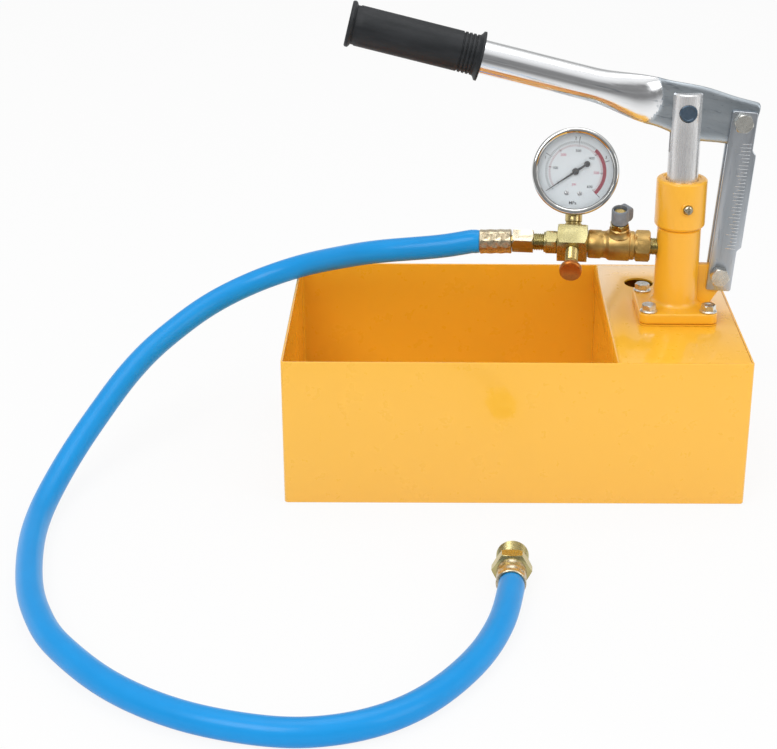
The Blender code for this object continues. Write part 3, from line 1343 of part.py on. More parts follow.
def build_pointer(centre, facing, upward, dial_back):
    """Pointer on its shaft, standing at the scale's zero."""
    right = upward.cross(facing)
    zero = math.radians(POINTER_ZERO_DEG)
    heading = right * math.cos(zero) + upward * math.sin(zero)
    hinge = pivot("gauge_pointer_axis", centre, facing, heading)
    low = GAUGE_DIAL_FRONT + POINTER_LIFT
    high = low + POINTER_THICK
    hub = POINTER_HUB_D / 2
    tail = POINTER_TAIL_WIDTH / 2
    half = POINTER_WIDTH / 2
    needle = slab("gauge_pointer", (
        (POINTER_LENGTH, -half / 3), (POINTER_LENGTH, half / 3), (0, half), (-POINTER_TAIL * 0.6, half),
        (-POINTER_TAIL, tail), (-POINTER_TAIL * 1.35, 0), (-POINTER_TAIL, -tail),
        (-POINTER_TAIL * 0.6, -half), (0, -half)), low, high)
    place(needle, centre, facing, heading, hinge)
    boss = turned("pointer_boss", (
        (0, high + POINTER_THICK), (hub - POINTER_THICK, high + POINTER_THICK), (hub, high),
        (hub, low), (POINTER_SHAFT_D / 2, low - POINTER_THICK), (POINTER_SHAFT_D / 2, dial_back - GAP),
        (0, dial_back - GAP)), SMALL)
    place(boss, centre, facing, heading, hinge)
    join(needle, boss)
    finish(needle, "black_paint")


def build_hose_fittings():
    """Adapter in the tee, swivel nut, and the tail and ferrule that hold the hose."""
    way = WATERWAY_D / 2
    thread = THREAD_D / 2
    adapter = hexagon("hose_adapter", HEX17_AF, TEE_END + GAP, ADAPTER_HEX_END, 0.0008, TEE_FACE_DEG)
    place_on_manifold(adapter, 0)
    seat_end = adapter_end()
    stem = rod("adapter_stem", thread, TEE_END - ADAPTER_INSERT, seat_end, MEDIUM, 0.0006)
    place_on_manifold(stem, 0)
    join(adapter, stem)
    nose_end = CHECK_SEAT_AT + check_ball_rest() + CHECK_BALL_D / 2 + CHECK_LIFT
    nose = rod("adapter_nose", CHECK_STOP_D / 2, nose_end, TEE_END - ADAPTER_INSERT / 2, SMALL)
    place_on_manifold(nose, 0)
    join(adapter, nose)
    bore = rod("adapter_bore", way, nose_end - CUT_OVERRUN, seat_end + CUT_OVERRUN, SMALL)
    place_on_manifold(bore, 0)
    cut(adapter, bore)
    notch = block("adapter_notch", (-CHECK_STOP_D, -CHECK_NOTCH / 2, nose_end - CUT_OVERRUN),
                  (CHECK_STOP_D, CHECK_NOTCH / 2, nose_end + CHECK_NOTCH))
    place_on_manifold(notch, 0)
    cut(adapter, notch)
    finish(adapter, "brass")

    swivel = pivot("hose_nut_axis", on_manifold(NUT_START), MANIFOLD_ALONG, MANIFOLD_FRONT)
    nut = hexagon("hose_nut", HEX17_AF, NUT_START, NUT_END, 0.0010, TEE_FACE_DEG)
    place_on_manifold(nut, 0, swivel)
    neck = TAIL_NECK_D / 2 + GAP * 3
    shoulder = NUT_END - NUT_COLLAR
    nut_bore = turned("hose_nut_bore", (
        (0, NUT_END + CUT_OVERRUN), (neck, NUT_END + CUT_OVERRUN), (neck, shoulder),
        (thread + RUN_GAP, shoulder), (thread + RUN_GAP, NUT_START - CUT_OVERRUN),
        (0, NUT_START - CUT_OVERRUN)), MEDIUM)
    place_on_manifold(nut_bore, 0, swivel)
    cut(nut, nut_bore)
    finish(nut, "brass")

    origin, along = ferrule_line()
    tilt_room = TAIL_COLLAR_D / 2 * math.sin(math.radians(FERRULE_DROOP_DEG))
    tail_start = seat_end + tilt_room + GAP - FERRULE_START
    collar_end = shoulder - tilt_room - GAP * 2 - FERRULE_START
    barb_end = FERRULE_LENGTH - GAP
    tail = tube("hose_tail", TAIL_NECK_D / 2, way, tail_start, barb_end, SMALL)
    collar = rod("tail_collar", TAIL_COLLAR_D / 2 - GAP, tail_start, collar_end, SMALL)
    collar_bore = rod("tail_collar_bore", TAIL_NECK_D / 2 * 0.8, tail_start - CUT_OVERRUN,
                      collar_end + CUT_OVERRUN, SMALL)
    for piece in (tail, collar, collar_bore):
        place(piece, origin, along, MANIFOLD_FRONT)
    cut(collar, collar_bore)
    join(tail, collar)
    finish(tail, "brass")

    ferrule = turned("hose_ferrule", ferrule_profile(FERRULE_D / 2, TAIL_NECK_D / 2 + GAP, 0, FERRULE_LENGTH),
                     SMALL, closed=True)
    place(ferrule, origin, along, MANIFOLD_FRONT)
    finish(ferrule, "brass")


def adapter_end():
    """How far along the manifold the adapter's seat lies inside the swivel nut."""
    return NUT_START + (NUT_END - NUT_START) * ADAPTER_REACH_SHARE


def ferrule_line():
    """Start of the ferrule and the way it points, drooping a little about the adapter's seat."""
    droop = math.radians(FERRULE_DROOP_DEG)
    along = MANIFOLD_ALONG * math.cos(droop) - Vector((0, 0, 1)) * math.sin(droop)
    origin = on_manifold(adapter_end()) + along * (FERRULE_START - adapter_end())
    return origin, along


def ferrule_profile(outer, inner, low, high):
    """Closed outline of a crimped ferrule, with its pressed rings."""
    points = [(inner, high), (outer, high)]
    pitch = (high - low) / CRIMP_COUNT
    for i in range(CRIMP_COUNT):
        middle = high - pitch * (i + 0.5)
        points += [(outer, middle + pitch / 4), (outer - CRIMP_DEPTH, middle + pitch / 8),
                   (outer - CRIMP_DEPTH, middle - pitch / 8), (outer, middle - pitch / 4)]
    points += [(outer, low), (inner, low)]
    return points


def smooth_route(points, step):
    """Even points along a smooth curve through the given ones."""
    samples = []
    padded = [points[0] * 2 - points[1]] + points + [points[-1] * 2 - points[-2]]
    fine = 24
    for i in range(1, len(padded) - 2):
        before, start, end, after = padded[i - 1:i + 3]
        for k in range(fine):
            t = k / fine
            samples.append(0.5 * ((start * 2) + (end - before) * t
                                  + (before * 2 - start * 5 + end * 4 - after) * t * t
                                  + (start * 3 - before - end * 3 + after) * t * t * t))
    samples.append(points[-1])
    total = sum((b - a).length for a, b in zip(samples, samples[1:]))
    count = max(2, round(total / step))
    wanted = [total * i / count for i in range(count + 1)]
    even = [samples[0]]
    run = 0
    target = 1
    for a, b in zip(samples, samples[1:]):
        length = (b - a).length
        while target < count and run + length >= wanted[target]:
            even.append(a.lerp(b, (wanted[target] - run) / length))
            target += 1
        run += length
    even.append(samples[-1])
    return even


def far_line():
    """Start of the far ferrule and the way it points."""
    turn = math.radians(FAR_TURN_DEG)
    return Vector(FAR_END), Vector((math.sin(turn), math.cos(turn), 0))


def build_hose():
    """Hose from the ferrule over the tank's rim, down to the floor and round to its far fitting."""
    origin, along = ferrule_line()
    start = origin + along * (FERRULE_LENGTH + GAP)
    far_origin, far_along = far_line()
    end = far_origin - far_along * GAP
    lead = HOSE_D / 2
    route = [start + along * lead] + [Vector(p) for p in HOSE_ROUTE] + [end - far_along * lead]
    points = [start] + smooth_route(route, HOSE_D * HOSE_STEP_IN_DIAMETERS) + [end]
    wire = bpy.data.curves.new("hose", "CURVE")
    wire.dimensions = "3D"
    wire.bevel_depth = HOSE_D / 2
    wire.bevel_resolution = HOSE_BEVEL_RESOLUTION
    wire.use_fill_caps = True
    line = wire.splines.new("POLY")
    line.points.add(len(points) - 1)
    for slot, point in zip(line.points, points):
        slot.co = (*point, 1)
    hose = bpy.data.objects.new("hose", wire)
    bpy.context.scene.collection.objects.link(hose)
    finish(hose, "blue_hose")


def build_far_end():
    """Ferrule and male fitting on the hose's far end."""
    origin, along = far_line()
    side = Vector((along.y, -along.x, 0))
    inner = FAR_BORE_D / 2
    ferrule = turned("far_ferrule", ferrule_profile(FAR_FERRULE_D / 2, inner, 0, FAR_FERRULE_LENGTH),
                     SMALL, closed=True)
    place(ferrule, origin, along, side)
    finish(ferrule, "brass")
    low = FAR_FERRULE_LENGTH + GAP
    hex_end = low + FAR_HEX
    fitting = hexagon("far_fitting", FAR_HEX_AF, low, hex_end, 0.0010, 90)
    place(fitting, origin, along, side)
    thread = rod("far_thread", FAR_THREAD_D / 2, hex_end - FAR_HEX / 2, hex_end + FAR_THREAD, MEDIUM, 0.0010)
    place(thread, origin, along, side)
    join(fitting, thread)
    bore = rod("far_bore", inner, low - CUT_OVERRUN, hex_end + FAR_THREAD + CUT_OVERRUN, SMALL)
    place(bore, origin, along, side)
    cut(fitting, bore)
    finish(fitting, "brass")


def main():
    """Build every piece in the order it is put together on a bench."""
    clear_scene()
    build_tank()
    build_gasket()
    build_pump_body()
    build_gland()
    build_plunger()
    build_flange_fasteners()
    build_link()
    build_lever()
    build_suction()
    build_outlet_nipple()
    build_valve()
    build_tee()
    build_release_screw()
    build_gauge()
    build_hose_fittings()
    build_hose()
    build_far_end()


main()
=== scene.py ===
"""Looks of a hydrostatic test pump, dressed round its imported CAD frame.

Lengths are metres in the frame's axes: +X to the pump's end of the tank, +Y to the back, +Z up. A profile
lists radius and height in the order in which a lathe turns them; an outline lists corners in order.
"""

import logging
import math
from collections.abc import Callable, Sequence
from dataclasses import dataclass
from enum import Enum

import bmesh
import bpy
from mathutils import Matrix, Vector


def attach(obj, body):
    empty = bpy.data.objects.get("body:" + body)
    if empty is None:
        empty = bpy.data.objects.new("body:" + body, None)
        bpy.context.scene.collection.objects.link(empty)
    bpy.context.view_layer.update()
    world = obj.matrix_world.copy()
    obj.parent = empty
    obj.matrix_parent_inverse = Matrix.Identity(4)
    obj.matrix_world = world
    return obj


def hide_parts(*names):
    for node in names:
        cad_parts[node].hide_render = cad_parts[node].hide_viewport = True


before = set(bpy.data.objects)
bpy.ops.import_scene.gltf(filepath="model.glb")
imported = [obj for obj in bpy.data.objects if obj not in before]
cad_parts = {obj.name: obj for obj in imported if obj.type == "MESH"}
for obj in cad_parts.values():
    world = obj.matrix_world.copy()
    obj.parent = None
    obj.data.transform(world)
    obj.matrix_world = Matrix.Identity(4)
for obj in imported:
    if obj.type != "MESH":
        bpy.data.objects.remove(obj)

log = logging.getLogger("test_pump")

Point = tuple[float, float]
Triple = tuple[float, float, float]
Profile = Sequence[Point]
Rod = tuple[float, float, float]  # radius, start and end of a round bar or hole
Hexagon = tuple[float, float, float]  # width over flats, start and end of a hexagon
Curve = tuple[float, float, float]  # centre and radius of a rounding in a profile
Thread = tuple[float, float, float, float, float]  # radius, start, end, pitch and depth of a thread
Thing = bpy.types.Object
Node = bpy.types.Node
Socket = bpy.types.NodeSocket
Ripple = Callable[[float, float, float], float]

ROUND = 96  # facets round a turned piece
SMALL_ROUND = 48  # facets round a small one or a hole
FINE_ROUND = 144  # facets round the gauge's rim
HEX_CORNER = 2 / math.sqrt(3)  # a hexagon's width over corners by its width over flats
CHAMFER_START = 0.98  # where a nut's chamfer starts, as a share of its half width
PLAIN_END = 1.01  # reach of the turning where a nut isn't chamfered, as a share of its corners'
RIDGE = ((1, 0.08), (0, 0.42), (0, 0.58), (1, 0.92))  # a thread ridge: share of its depth and of its pitch
CREASE = math.radians(38)  # edges sharper than this stay sharp in the shading
NEAR_AXIS = 0.7  # a direction whose X is larger leans to X, and takes its side from Z
SAME_POINT = 1e-7  # corners closer than this are one
OVER = 0.004  # how far a tool reaches past what it cuts
THROUGH = 0.05  # reach of a drill that goes right through
FIT = 0.0002  # clearance of a shaft in its hole
GAP = 0.0003  # clearance between pieces that meet
UP = Vector((0, 0, 1))
RIGHT = Vector((1, 0, 0))
FRONT = Vector((0, -1, 0))
ORIGIN = (0, 0, 0)


# Shapes


class Solid(Enum):
    """Ways in which one solid is worked into another."""

    JOIN = "UNION"
    CUT = "DIFFERENCE"
    KEEP = "INTERSECT"


def stand(origin: Sequence[float], along: Vector = UP, side: Vector = RIGHT) -> Matrix:
    """Frame at a point whose +Z runs along a line.

    Args:
        origin: Where the frame stands.
        along: Direction of its +Z.
        side: Direction that its +X leans to.

    Returns:
        The 4x4 matrix of the frame.
    """
    up = Vector(along).normalized()
    across = Vector(side)
    across = (across - up * across.dot(up)).normalized()
    matrix = Matrix((across, up.cross(across), up)).transposed().to_4x4()
    matrix.translation = Vector(origin)
    return matrix


FACE_ON = stand(ORIGIN, FRONT, RIGHT)  # turns an outline drawn in XY to face the front


def in_scene(name: str, data: bpy.types.ID) -> Thing:
    """Link a new object to the scene.

    Args:
        name: Its name.
        data: Its mesh, lamp, camera or text.

    Returns:
        The object.
    """
    thing = bpy.data.objects.new(name, data)
    bpy.context.scene.collection.objects.link(thing)
    return thing


def skin(rows: Sequence[Sequence[Vector]], name: str = "tool", closed: bool = False) -> Thing:
    """Tube through rings of equal length, its faces turned outwards; a ring of one point is a pole.

    Args:
        rows: Rings of points, in order.
        name: Name of the piece.
        closed: Whether the last ring joins the first, as on a washer.

    Returns:
        The piece.
    """
    builder = bmesh.new()
    rings = [[builder.verts.new(point) for point in row] for row in rows]
    for first, second in zip(rings, rings[1:] + rings[:1] if closed else rings[1:]):
        count = max(len(first), len(second))
        for i in range(count if count > 1 else 0):
            j = (i + 1) % count
            if len(first) == 1:
                builder.faces.new((first[0], second[j], second[i]))
            elif len(second) == 1:
                builder.faces.new((first[i], first[j], second[0]))
            else:
                builder.faces.new((first[i], first[j], second[j], second[i]))
    for ring in () if closed else (rings[0], rings[-1]):
        if len(ring) > 1:
            builder.faces.new(ring)
    bmesh.ops.remove_doubles(builder, verts=builder.verts, dist=SAME_POINT)
    bmesh.ops.recalc_face_normals(builder, faces=builder.faces)
    mesh = bpy.data.meshes.new(name)
    builder.to_mesh(mesh)
    builder.free()
    return in_scene(name, mesh)


def lathe(profile: Profile, name: str = "tool", segments: int = ROUND, closed: bool = False,
          ripple: Ripple | None = None) -> Thing:
    """Turned piece about +Z.

    Args:
        profile: Radius and height of each turn.
        name: Name of the piece.
        segments: Facets round the circle.
        closed: Whether the profile closes on itself, as on a ring.
        ripple: Changes a radius from radius, turn and height, as on a crimped ferrule.

    Returns:
        The piece.
    """
    rows = []
    for radius, height in profile:
        ring = [Vector((0, 0, height))]
        if radius > 0:
            turns = [2 * math.pi * i / segments for i in range(segments)]
            reach = [ripple(radius, turn, height) if ripple else radius for turn in turns]
            ring = [Vector((r * math.cos(a), r * math.sin(a), height)) for r, a in zip(reach, turns)]
        rows.append(ring)
    return skin(rows, name, closed)


def bar(radius: float, low: float, high: float, name: str = "tool", segments: int = SMALL_ROUND) -> Thing:
    """Plain round bar about +Z."""
    return lathe([(0, low), (radius, low), (radius, high), (0, high)], name, segments)


def extrude(outline: Profile, low: float, high: float, name: str = "tool") -> Thing:
    """Straight solid from an outline in the XY plane."""
    return skin([[Vector((x, y, height)) for x, y in outline] for height in (low, high)], name)


def oblong(left: float, right: float, low: float, high: float) -> list[Point]:
    """Outline of a plain rectangle."""
    return [(left, low), (right, low), (right, high), (left, high)]


def arc(centre: Point, radius: float, start: float, end: float, steps: int = 8) -> list[Point]:
    """Points along an arc from one angle in degrees to another, both ends included."""
    angles = [math.radians(start + (end - start) * i / steps) for i in range(steps + 1)]
    return [(centre[0] + radius * math.cos(a), centre[1] + radius * math.sin(a)) for a in angles]


def round_rectangle(half_x: float, half_y: float, radius: float) -> list[Point]:
    """Outline of a rectangle with round corners about the origin.

    Args:
        half_x: Half its width.
        half_y: Half its depth.
        radius: Radius of its corners.

    Returns:
        The outline's points.
    """
    points: list[Point] = []
    for sign_x, sign_y, turn in ((1, 1, 0), (-1, 1, 90), (-1, -1, 180), (1, -1, 270)):
        points += arc((sign_x * (half_x - radius), sign_y * (half_y - radius)), radius, turn, turn + 90)
    return points


def plain_mesh(piece: Thing) -> Thing:
    """Turn a piece's modifiers into its own mesh and drop them.

    Args:
        piece: The piece.

    Returns:
        The piece.
    """
    evaluated = piece.evaluated_get(bpy.context.evaluated_depsgraph_get())
    mesh = bpy.data.meshes.new_from_object(evaluated)
    piece.modifiers.clear()
    piece.data = mesh
    return piece


def work(piece: Thing, way: Solid, tool: Thing) -> Thing:
    """Join, cut or keep with a tool, which is used up.

    Args:
        piece: Piece being worked.
        way: What the tool does.
        tool: Solid worked into it.

    Returns:
        The piece.
    """
    modifier = piece.modifiers.new(way.name, "BOOLEAN")
    modifier.operation = way.value
    modifier.solver = "EXACT"
    modifier.object = tool
    plain_mesh(piece)
    bpy.data.objects.remove(tool, do_unlink=True)
    return piece


def settle(piece: Thing, place: Matrix) -> Thing:
    """Put a piece's place into its mesh."""
    piece.data.transform(place)
    return piece


def drill(piece: Thing, radius: float, low: float, high: float, origin: Sequence[float] = ORIGIN,
          along: Vector = UP) -> Thing:
    """Cut a round hole along a line.

    Args:
        piece: Piece being drilled.
        radius: Radius of the hole.
        low: Start of the hole along its axis.
        high: End of the hole along its axis.
        origin: Point on the axis.
        along: Direction of the axis.

    Returns:
        The piece.
    """
    near_x = abs(Vector(along).normalized().x) > NEAR_AXIS
    side = UP if near_x else RIGHT
    return work(piece, Solid.CUT, settle(bar(radius, low, high), stand(origin, along, side)))


def soften(piece: Thing, width: float, segments: int = 2, angle: float = 30) -> Thing:
    """Round a piece's hard edges.

    Args:
        piece: Piece to soften.
        width: Width of the rounding.
        segments: Facets across it.
        angle: Edges sharper than this, in degrees, are rounded.

    Returns:
        The piece.
    """
    modifier = piece.modifiers.new("edge", "BEVEL")
    modifier.width = width
    modifier.segments = segments
    modifier.limit_method = "ANGLE"
    modifier.angle_limit = math.radians(angle)
    return plain_mesh(piece)


def hexagon(across: float, low: float, high: float, name: str = "tool", chamfer: float = 0.0008,
            face_deg: float = 0, low_end: bool = True) -> Thing:
    """Hexagon bar about +Z, its ends turned to a chamfer as on a real nut.

    Args:
        across: Width over flats.
        low: Height of its lower end.
        high: Height of its upper end.
        name: Name of the piece.
        chamfer: Depth of the chamfer at the corners.
        face_deg: Direction in which one flat looks.
        low_end: Whether the lower end is turned too.

    Returns:
        The piece.
    """
    reach = across / 2 * HEX_CORNER
    flat = across / 2 * CHAMFER_START
    piece = extrude(arc((0, 0), reach, face_deg + 30, face_deg + 330, 5), low, high, name)
    foot = [(flat, low - FIT), (reach, low + chamfer)] if low_end else [(reach * PLAIN_END, low - FIT)]
    head = [(reach, high - chamfer), (flat, high + FIT), (0, high + FIT)]
    return work(piece, Solid.KEEP, lathe([(0, low - FIT), *foot, *head]))


def ringed(radius: float, low: float, high: float, pitch: float, depth: float) -> list[Point]:
    """Profile of a threaded stretch, its ridges drawn as rings.

    Args:
        radius: Radius over the ridges.
        low: Start of the thread.
        high: End of the thread.
        pitch: Distance from ridge to ridge.
        depth: Depth of the grooves.

    Returns:
        Points from low to high.
    """
    count = max(1, round((high - low) / pitch))
    step = (high - low) / count
    return [(radius - depth * sunk, low + step * (i + share)) for i in range(count) for sunk, share in RIDGE]


# Node trees


class Tree:
    """Short hand for building a node tree."""

    def __init__(self, tree: bpy.types.NodeTree, clear: bool = False) -> None:
        """Work on one tree.

        Args:
            tree: The tree.
            clear: Whether it is emptied first.
        """
        self.tree = tree
        if clear:
            tree.nodes.clear()

    def wire(self, node: Node, feeds: dict[str | int, object]) -> Node:
        """Set or link inputs.

        Args:
            node: Node whose inputs are fed.
            feeds: For each input's name or number, a socket to link from or a value to set.

        Returns:
            The node.
        """
        for key, value in feeds.items():
            if isinstance(value, Socket):
                self.tree.links.new(value, node.inputs[key])
            else:
                node.inputs[key].default_value = value
        return node

    def node(self, kind: str, feeds: dict[str | int, object] | None = None, **values: object) -> Node:
        """Add a node, set its own properties and feed its inputs.

        Args:
            kind: Node type.
            feeds: What its inputs get.
            values: Its properties.

        Returns:
            The node.
        """
        node = self.tree.nodes.new(kind)
        for key, value in values.items():
            setattr(node, key, value)
        return self.wire(node, feeds or {})

    def math(self, operation: str, first: object, second: object = 0.0) -> Socket:
        """Result of a Math node on two values or sockets."""
        return self.node("ShaderNodeMath", {0: first, 1: second}, operation=operation).outputs[0]

    def mix(self, share: object, first: object, second: object, blend: str = "MIX") -> Socket:
        """Colour between two colours."""
        feeds = {0: share, 6: first, 7: second}
        return self.node("ShaderNodeMix", feeds, data_type="RGBA", blend_type=blend).outputs[2]

    def band(self, value: Socket, low: float, high: float, start: object = 0.0, end: object = 1.0) -> Socket:
        """Value moved from one range to another."""
        feeds = {"Value": value, "From Min": low, "From Max": high, "To Min": start, "To Max": end}
        return self.node("ShaderNodeMapRange", feeds).outputs[0]

    def grey(self, value: Socket, stops: Profile, low: float = 0.0, high: float = 1.0) -> Socket:
        """Grey level along a value.

        Args:
            value: Socket that is followed.
            stops: Position and grey of each stop.
            low: Value at the first end.
            high: Value at the other end.

        Returns:
            The colour's socket.
        """
        ramp = self.node("ShaderNodeValToRGB", {0: self.band(value, low, high)})
        elements = ramp.color_ramp.elements
        while len(elements) < len(stops):
            elements.new(0.5)
        for element, (position, level) in zip(elements, stops):
            element.position = position
            element.color = (level, level, level, 1)
        return ramp.outputs[0]

    def seen_directly(self, path: Sequence[Socket]) -> Socket:
        """One where the camera sees a surface itself or through glass."""
        return self.math("MAXIMUM", path["Is Camera Ray"], path["Is Transmission Ray"])


def new_group(name: str, inputs: dict[str, object], outputs: dict[str, str],
              kind: str = "ShaderNodeTree") -> tuple[Tree, Sequence[Socket], Node]:
    """Node group with named sockets.

    Args:
        name: Name of the group.
        inputs: Each input's first value, or its type where it has none.
        outputs: Type of each output.
        kind: Type of the tree.

    Returns:
        The group's tree, the sockets of its inputs and the node of its outputs.
    """
    group = bpy.data.node_groups.new(name, kind)
    types = {int: "Int", float: "Float", tuple: "Color"}
    for label, value in inputs.items():
        socket_type = "NodeSocket" + types.get(type(value), str(value))
        socket = group.interface.new_socket(label, in_out="INPUT", socket_type=socket_type)
        if not isinstance(value, str):
            socket.default_value = value
    for label, kind_of in outputs.items():
        group.interface.new_socket(label, in_out="OUTPUT", socket_type="NodeSocket" + kind_of)
    tree = Tree(group)
    return tree, tree.node("NodeGroupInput").outputs, tree.node("NodeGroupOutput")


# Finishes


WHITE = (1, 1, 1, 1)
BROAD_BAND = (0.35, 0.65)  # noise over which the colour goes from the first to the second
FINE_BAND = (0.3, 0.7)  # noise over which the roughness goes from low to high
MARKS_FROM = 0.8  # noise above which marks show, less their cover
# Painted shade: colour that multiplies brass faces more as they turn from up to down.
UNDERSIDE_SHADE = (0.52, 0.56, 0.60)


class Effect(Enum):
    """Shader groups that the finishes share, made once each."""

    VARIATION = "surface_variation"
    MARKS = "sparse_marks"

    def group(self) -> bpy.types.NodeTree:
        """The group of this effect."""
        make = {Effect.VARIATION: self.variation, Effect.MARKS: self.marks}[self]
        return bpy.data.node_groups.get(self.value) or make()

    def variation(self) -> bpy.types.NodeTree:
        """Slow colour change, fine roughness change and a matching height.

        Returns:
            The group.
        """
        inputs = {"Vector": "Vector", "Base": WHITE, "Second": WHITE, "Broad": 20.0, "Fine": 400.0,
                  "Rough Low": 0.2, "Rough High": 0.4}
        tree, start, end = new_group(self.value, inputs,
                                     {"Colour": "Color", "Roughness": "Float", "Height": "Float"})
        broad, fine = (
            tree.node("ShaderNodeTexNoise", {"Vector": start["Vector"], "Scale": start[scale],
                                             "Detail": detail, "Roughness": rough}).outputs["Fac"]
            for scale, detail, rough in (("Broad", 3.0, 0.55), ("Fine", 4.0, 0.6)))
        tree.wire(end, {"Colour": tree.mix(tree.band(broad, *BROAD_BAND), start["Base"], start["Second"]),
                        "Roughness": tree.band(fine, *FINE_BAND, start["Rough Low"], start["Rough High"]),
                        "Height": fine})
        return tree.tree

    def marks(self) -> bpy.types.NodeTree:
        """Sparse marks, such as scratches, pits or specks, as a mask.

        Returns:
            The group.
        """
        inputs = {"Vector": "Vector", "Scale": 200.0, "Cover": 0.3, "Soft": 0.08}
        tree, start, end = new_group(self.value, inputs, {"Mask": "Float"})
        noise = tree.node("ShaderNodeTexNoise", {"Vector": start["Vector"], "Scale": start["Scale"],
                                                 "Detail": 2.0, "Roughness": 0.5}).outputs["Fac"]
        level = tree.math("SUBTRACT", MARKS_FROM, start["Cover"])
        tree.wire(end, {"Mask": tree.band(noise, level, tree.math("ADD", level, start["Soft"]))})
        return tree.tree


@dataclass(frozen=True)
class Finish:
    """One finish: colours, gloss, grain, marks, painted shade on faces that turn down, and the name of a slot.
    """

    name: str
    base: Triple
    second: Triple
    metallic: float = 0.0
    rough: Point = (0.3, 0.4)
    broad: float = 20.0
    fine: float = 600.0
    stretch: Triple = (1, 1, 1)
    bump: float = 0.1
    bump_reach: float = 0.0001
    coat: float = 0.0
    coat_rough: float = 0.05
    mark: Triple = (0.5, 0.5, 0.5)
    mark_scale: float = 300.0
    mark_cover: float = 0.0
    alpha: float = 1.0
    specular: float = 0.5
    # under paints shade: faces are multiplied by this colour as their normal turns down, over the range of
    # normal Z given next.
    under: Triple | None = None
    under_range: Point = (0.45, -0.15)
    slot: str = "brass"

    def material(self, grain: Matrix | None = None, tag: str = "") -> bpy.types.Material:
        """Material of this finish, its grain along the +Z of a frame.

        Args:
            grain: Frame that the grain follows, or the world's axes.
            tag: Added to the name where the same finish lies another way.

        Returns:
            The material.
        """
        name = self.name + ("_" + tag if tag else "")
        if name in bpy.data.materials:
            return bpy.data.materials[name]
        material = bpy.data.materials.new(name)
        material.use_nodes = True
        tree = Tree(material.node_tree)
        where = tree.node("ShaderNodeTexCoord").outputs["Object"]
        turn = tree.node("ShaderNodeMapping", {"Vector": where, "Scale": self.stretch}, vector_type="TEXTURE")
        if grain is not None:
            tree.wire(turn, {"Location": grain.to_translation(), "Rotation": grain.to_euler()})
        at = turn.outputs["Vector"]
        surface = tree.node("ShaderNodeGroup", node_tree=Effect.VARIATION.group())
        tree.wire(surface, {"Vector": at, "Base": (*self.base, 1), "Second": (*self.second, 1),
                            "Broad": self.broad, "Fine": self.fine, "Rough Low": self.rough[0],
                            "Rough High": self.rough[1]})
        colour = surface.outputs["Colour"]
        if self.mark_cover:
            marks = tree.node("ShaderNodeGroup", node_tree=Effect.MARKS.group())
            tree.wire(marks, {"Vector": at, "Scale": self.mark_scale, "Cover": self.mark_cover})
            colour = tree.mix(marks.outputs["Mask"], colour, (*self.mark, 1))
        # Painted shade: the colour is multiplied by under, more as the face's normal turns from up to down.
        if self.under:
            normal = tree.node("ShaderNodeNewGeometry").outputs["Normal"]
            rise = tree.node("ShaderNodeSeparateXYZ", {0: normal}).outputs["Z"]
            colour = tree.mix(tree.band(rise, *self.under_range), colour, (*self.under, 1), "MULTIPLY")
        bump = tree.node("ShaderNodeBump", {"Strength": self.bump, "Distance": self.bump_reach,
                                            "Height": surface.outputs["Height"]})
        tree.wire(material.node_tree.nodes["Principled BSDF"], {
            "Base Color": colour, "Roughness": surface.outputs["Roughness"], "Normal": bump.outputs["Normal"],
            "Metallic": self.metallic, "Coat Weight": self.coat, "Coat Roughness": self.coat_rough,
            "Specular IOR Level": self.specular, "Alpha": self.alpha})
        return material

    def dress(self, piece: Thing, stands_for: Sequence[str] = (), place: Matrix | None = None, tag: str = "",
              body: str = "base", grain: Matrix | None = None, slot: str = "") -> Thing:
        """Settle one piece and finish it: material, shading, body and the CAD nodes that it stands for.

        Args:
            piece: The piece.
            stands_for: CAD nodes that it replaces.
            place: Frame that it is settled in, if it isn't settled yet.
            tag: Added to the material's name.
            body: CAD body that it moves with.
            grain: Frame that the grain follows.
            slot: Not used.

        Returns:
            The piece.
        """
        if place is not None:
            settle(piece, place)
        piece.data.materials.clear()
        piece.data.materials.append(self.material(grain, tag))
        for polygon in piece.data.polygons:
            polygon.material_index = 0
        piece.data.shade_smooth()
        piece.data.set_sharp_from_angle(angle=CREASE)
        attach(piece, body)
        slot or self.slot
        if stands_for:
            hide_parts(*stands_for)
        log.info("%s on %s, %d faces", piece.name, body, len(piece.data.polygons))
        return piece

    def grained(self, piece: Thing, node: str, place: Matrix, tag: str = "", body: str = "base") -> Thing:
        """Settle and dress a piece that stands for one node, its grain along the frame it is settled in."""
        return self.dress(piece, [node], place, tag, body, place)

    def repaint(self, *nodes: str) -> None:
        """Give this finish to CAD nodes that stay.

        Args:
            nodes: Names of the nodes.
        """
        for node in nodes:
            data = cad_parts[node].data
            data.materials.clear()
            data.materials.append(self.material())
            log.info("%s keeps its solid in %s", node, self.name)


YELLOW_PAINT = Finish("yellow_paint", (0.945, 0.492, 0.028), (0.948, 0.494, 0.029), rough=(0.27, 0.29),
                      broad=4, fine=90, bump=0.0, coat=0.9, slot="paint")
CAST_PAINT = Finish("cast_paint", (0.905, 0.448, 0.022), (0.918, 0.460, 0.024), rough=(0.30, 0.36), broad=40,
                    fine=300, bump=0.16, bump_reach=0.00015, coat=0.55, coat_rough=0.10, slot="paint")
ZINC = Finish("zinc_plate", (0.46, 0.50, 0.54), (0.60, 0.63, 0.67), 1.0, (0.26, 0.40), 90, 1100, (1, 1, 10),
              0.20, mark=(0.42, 0.45, 0.49), mark_scale=520, mark_cover=0.18, slot="zinc")
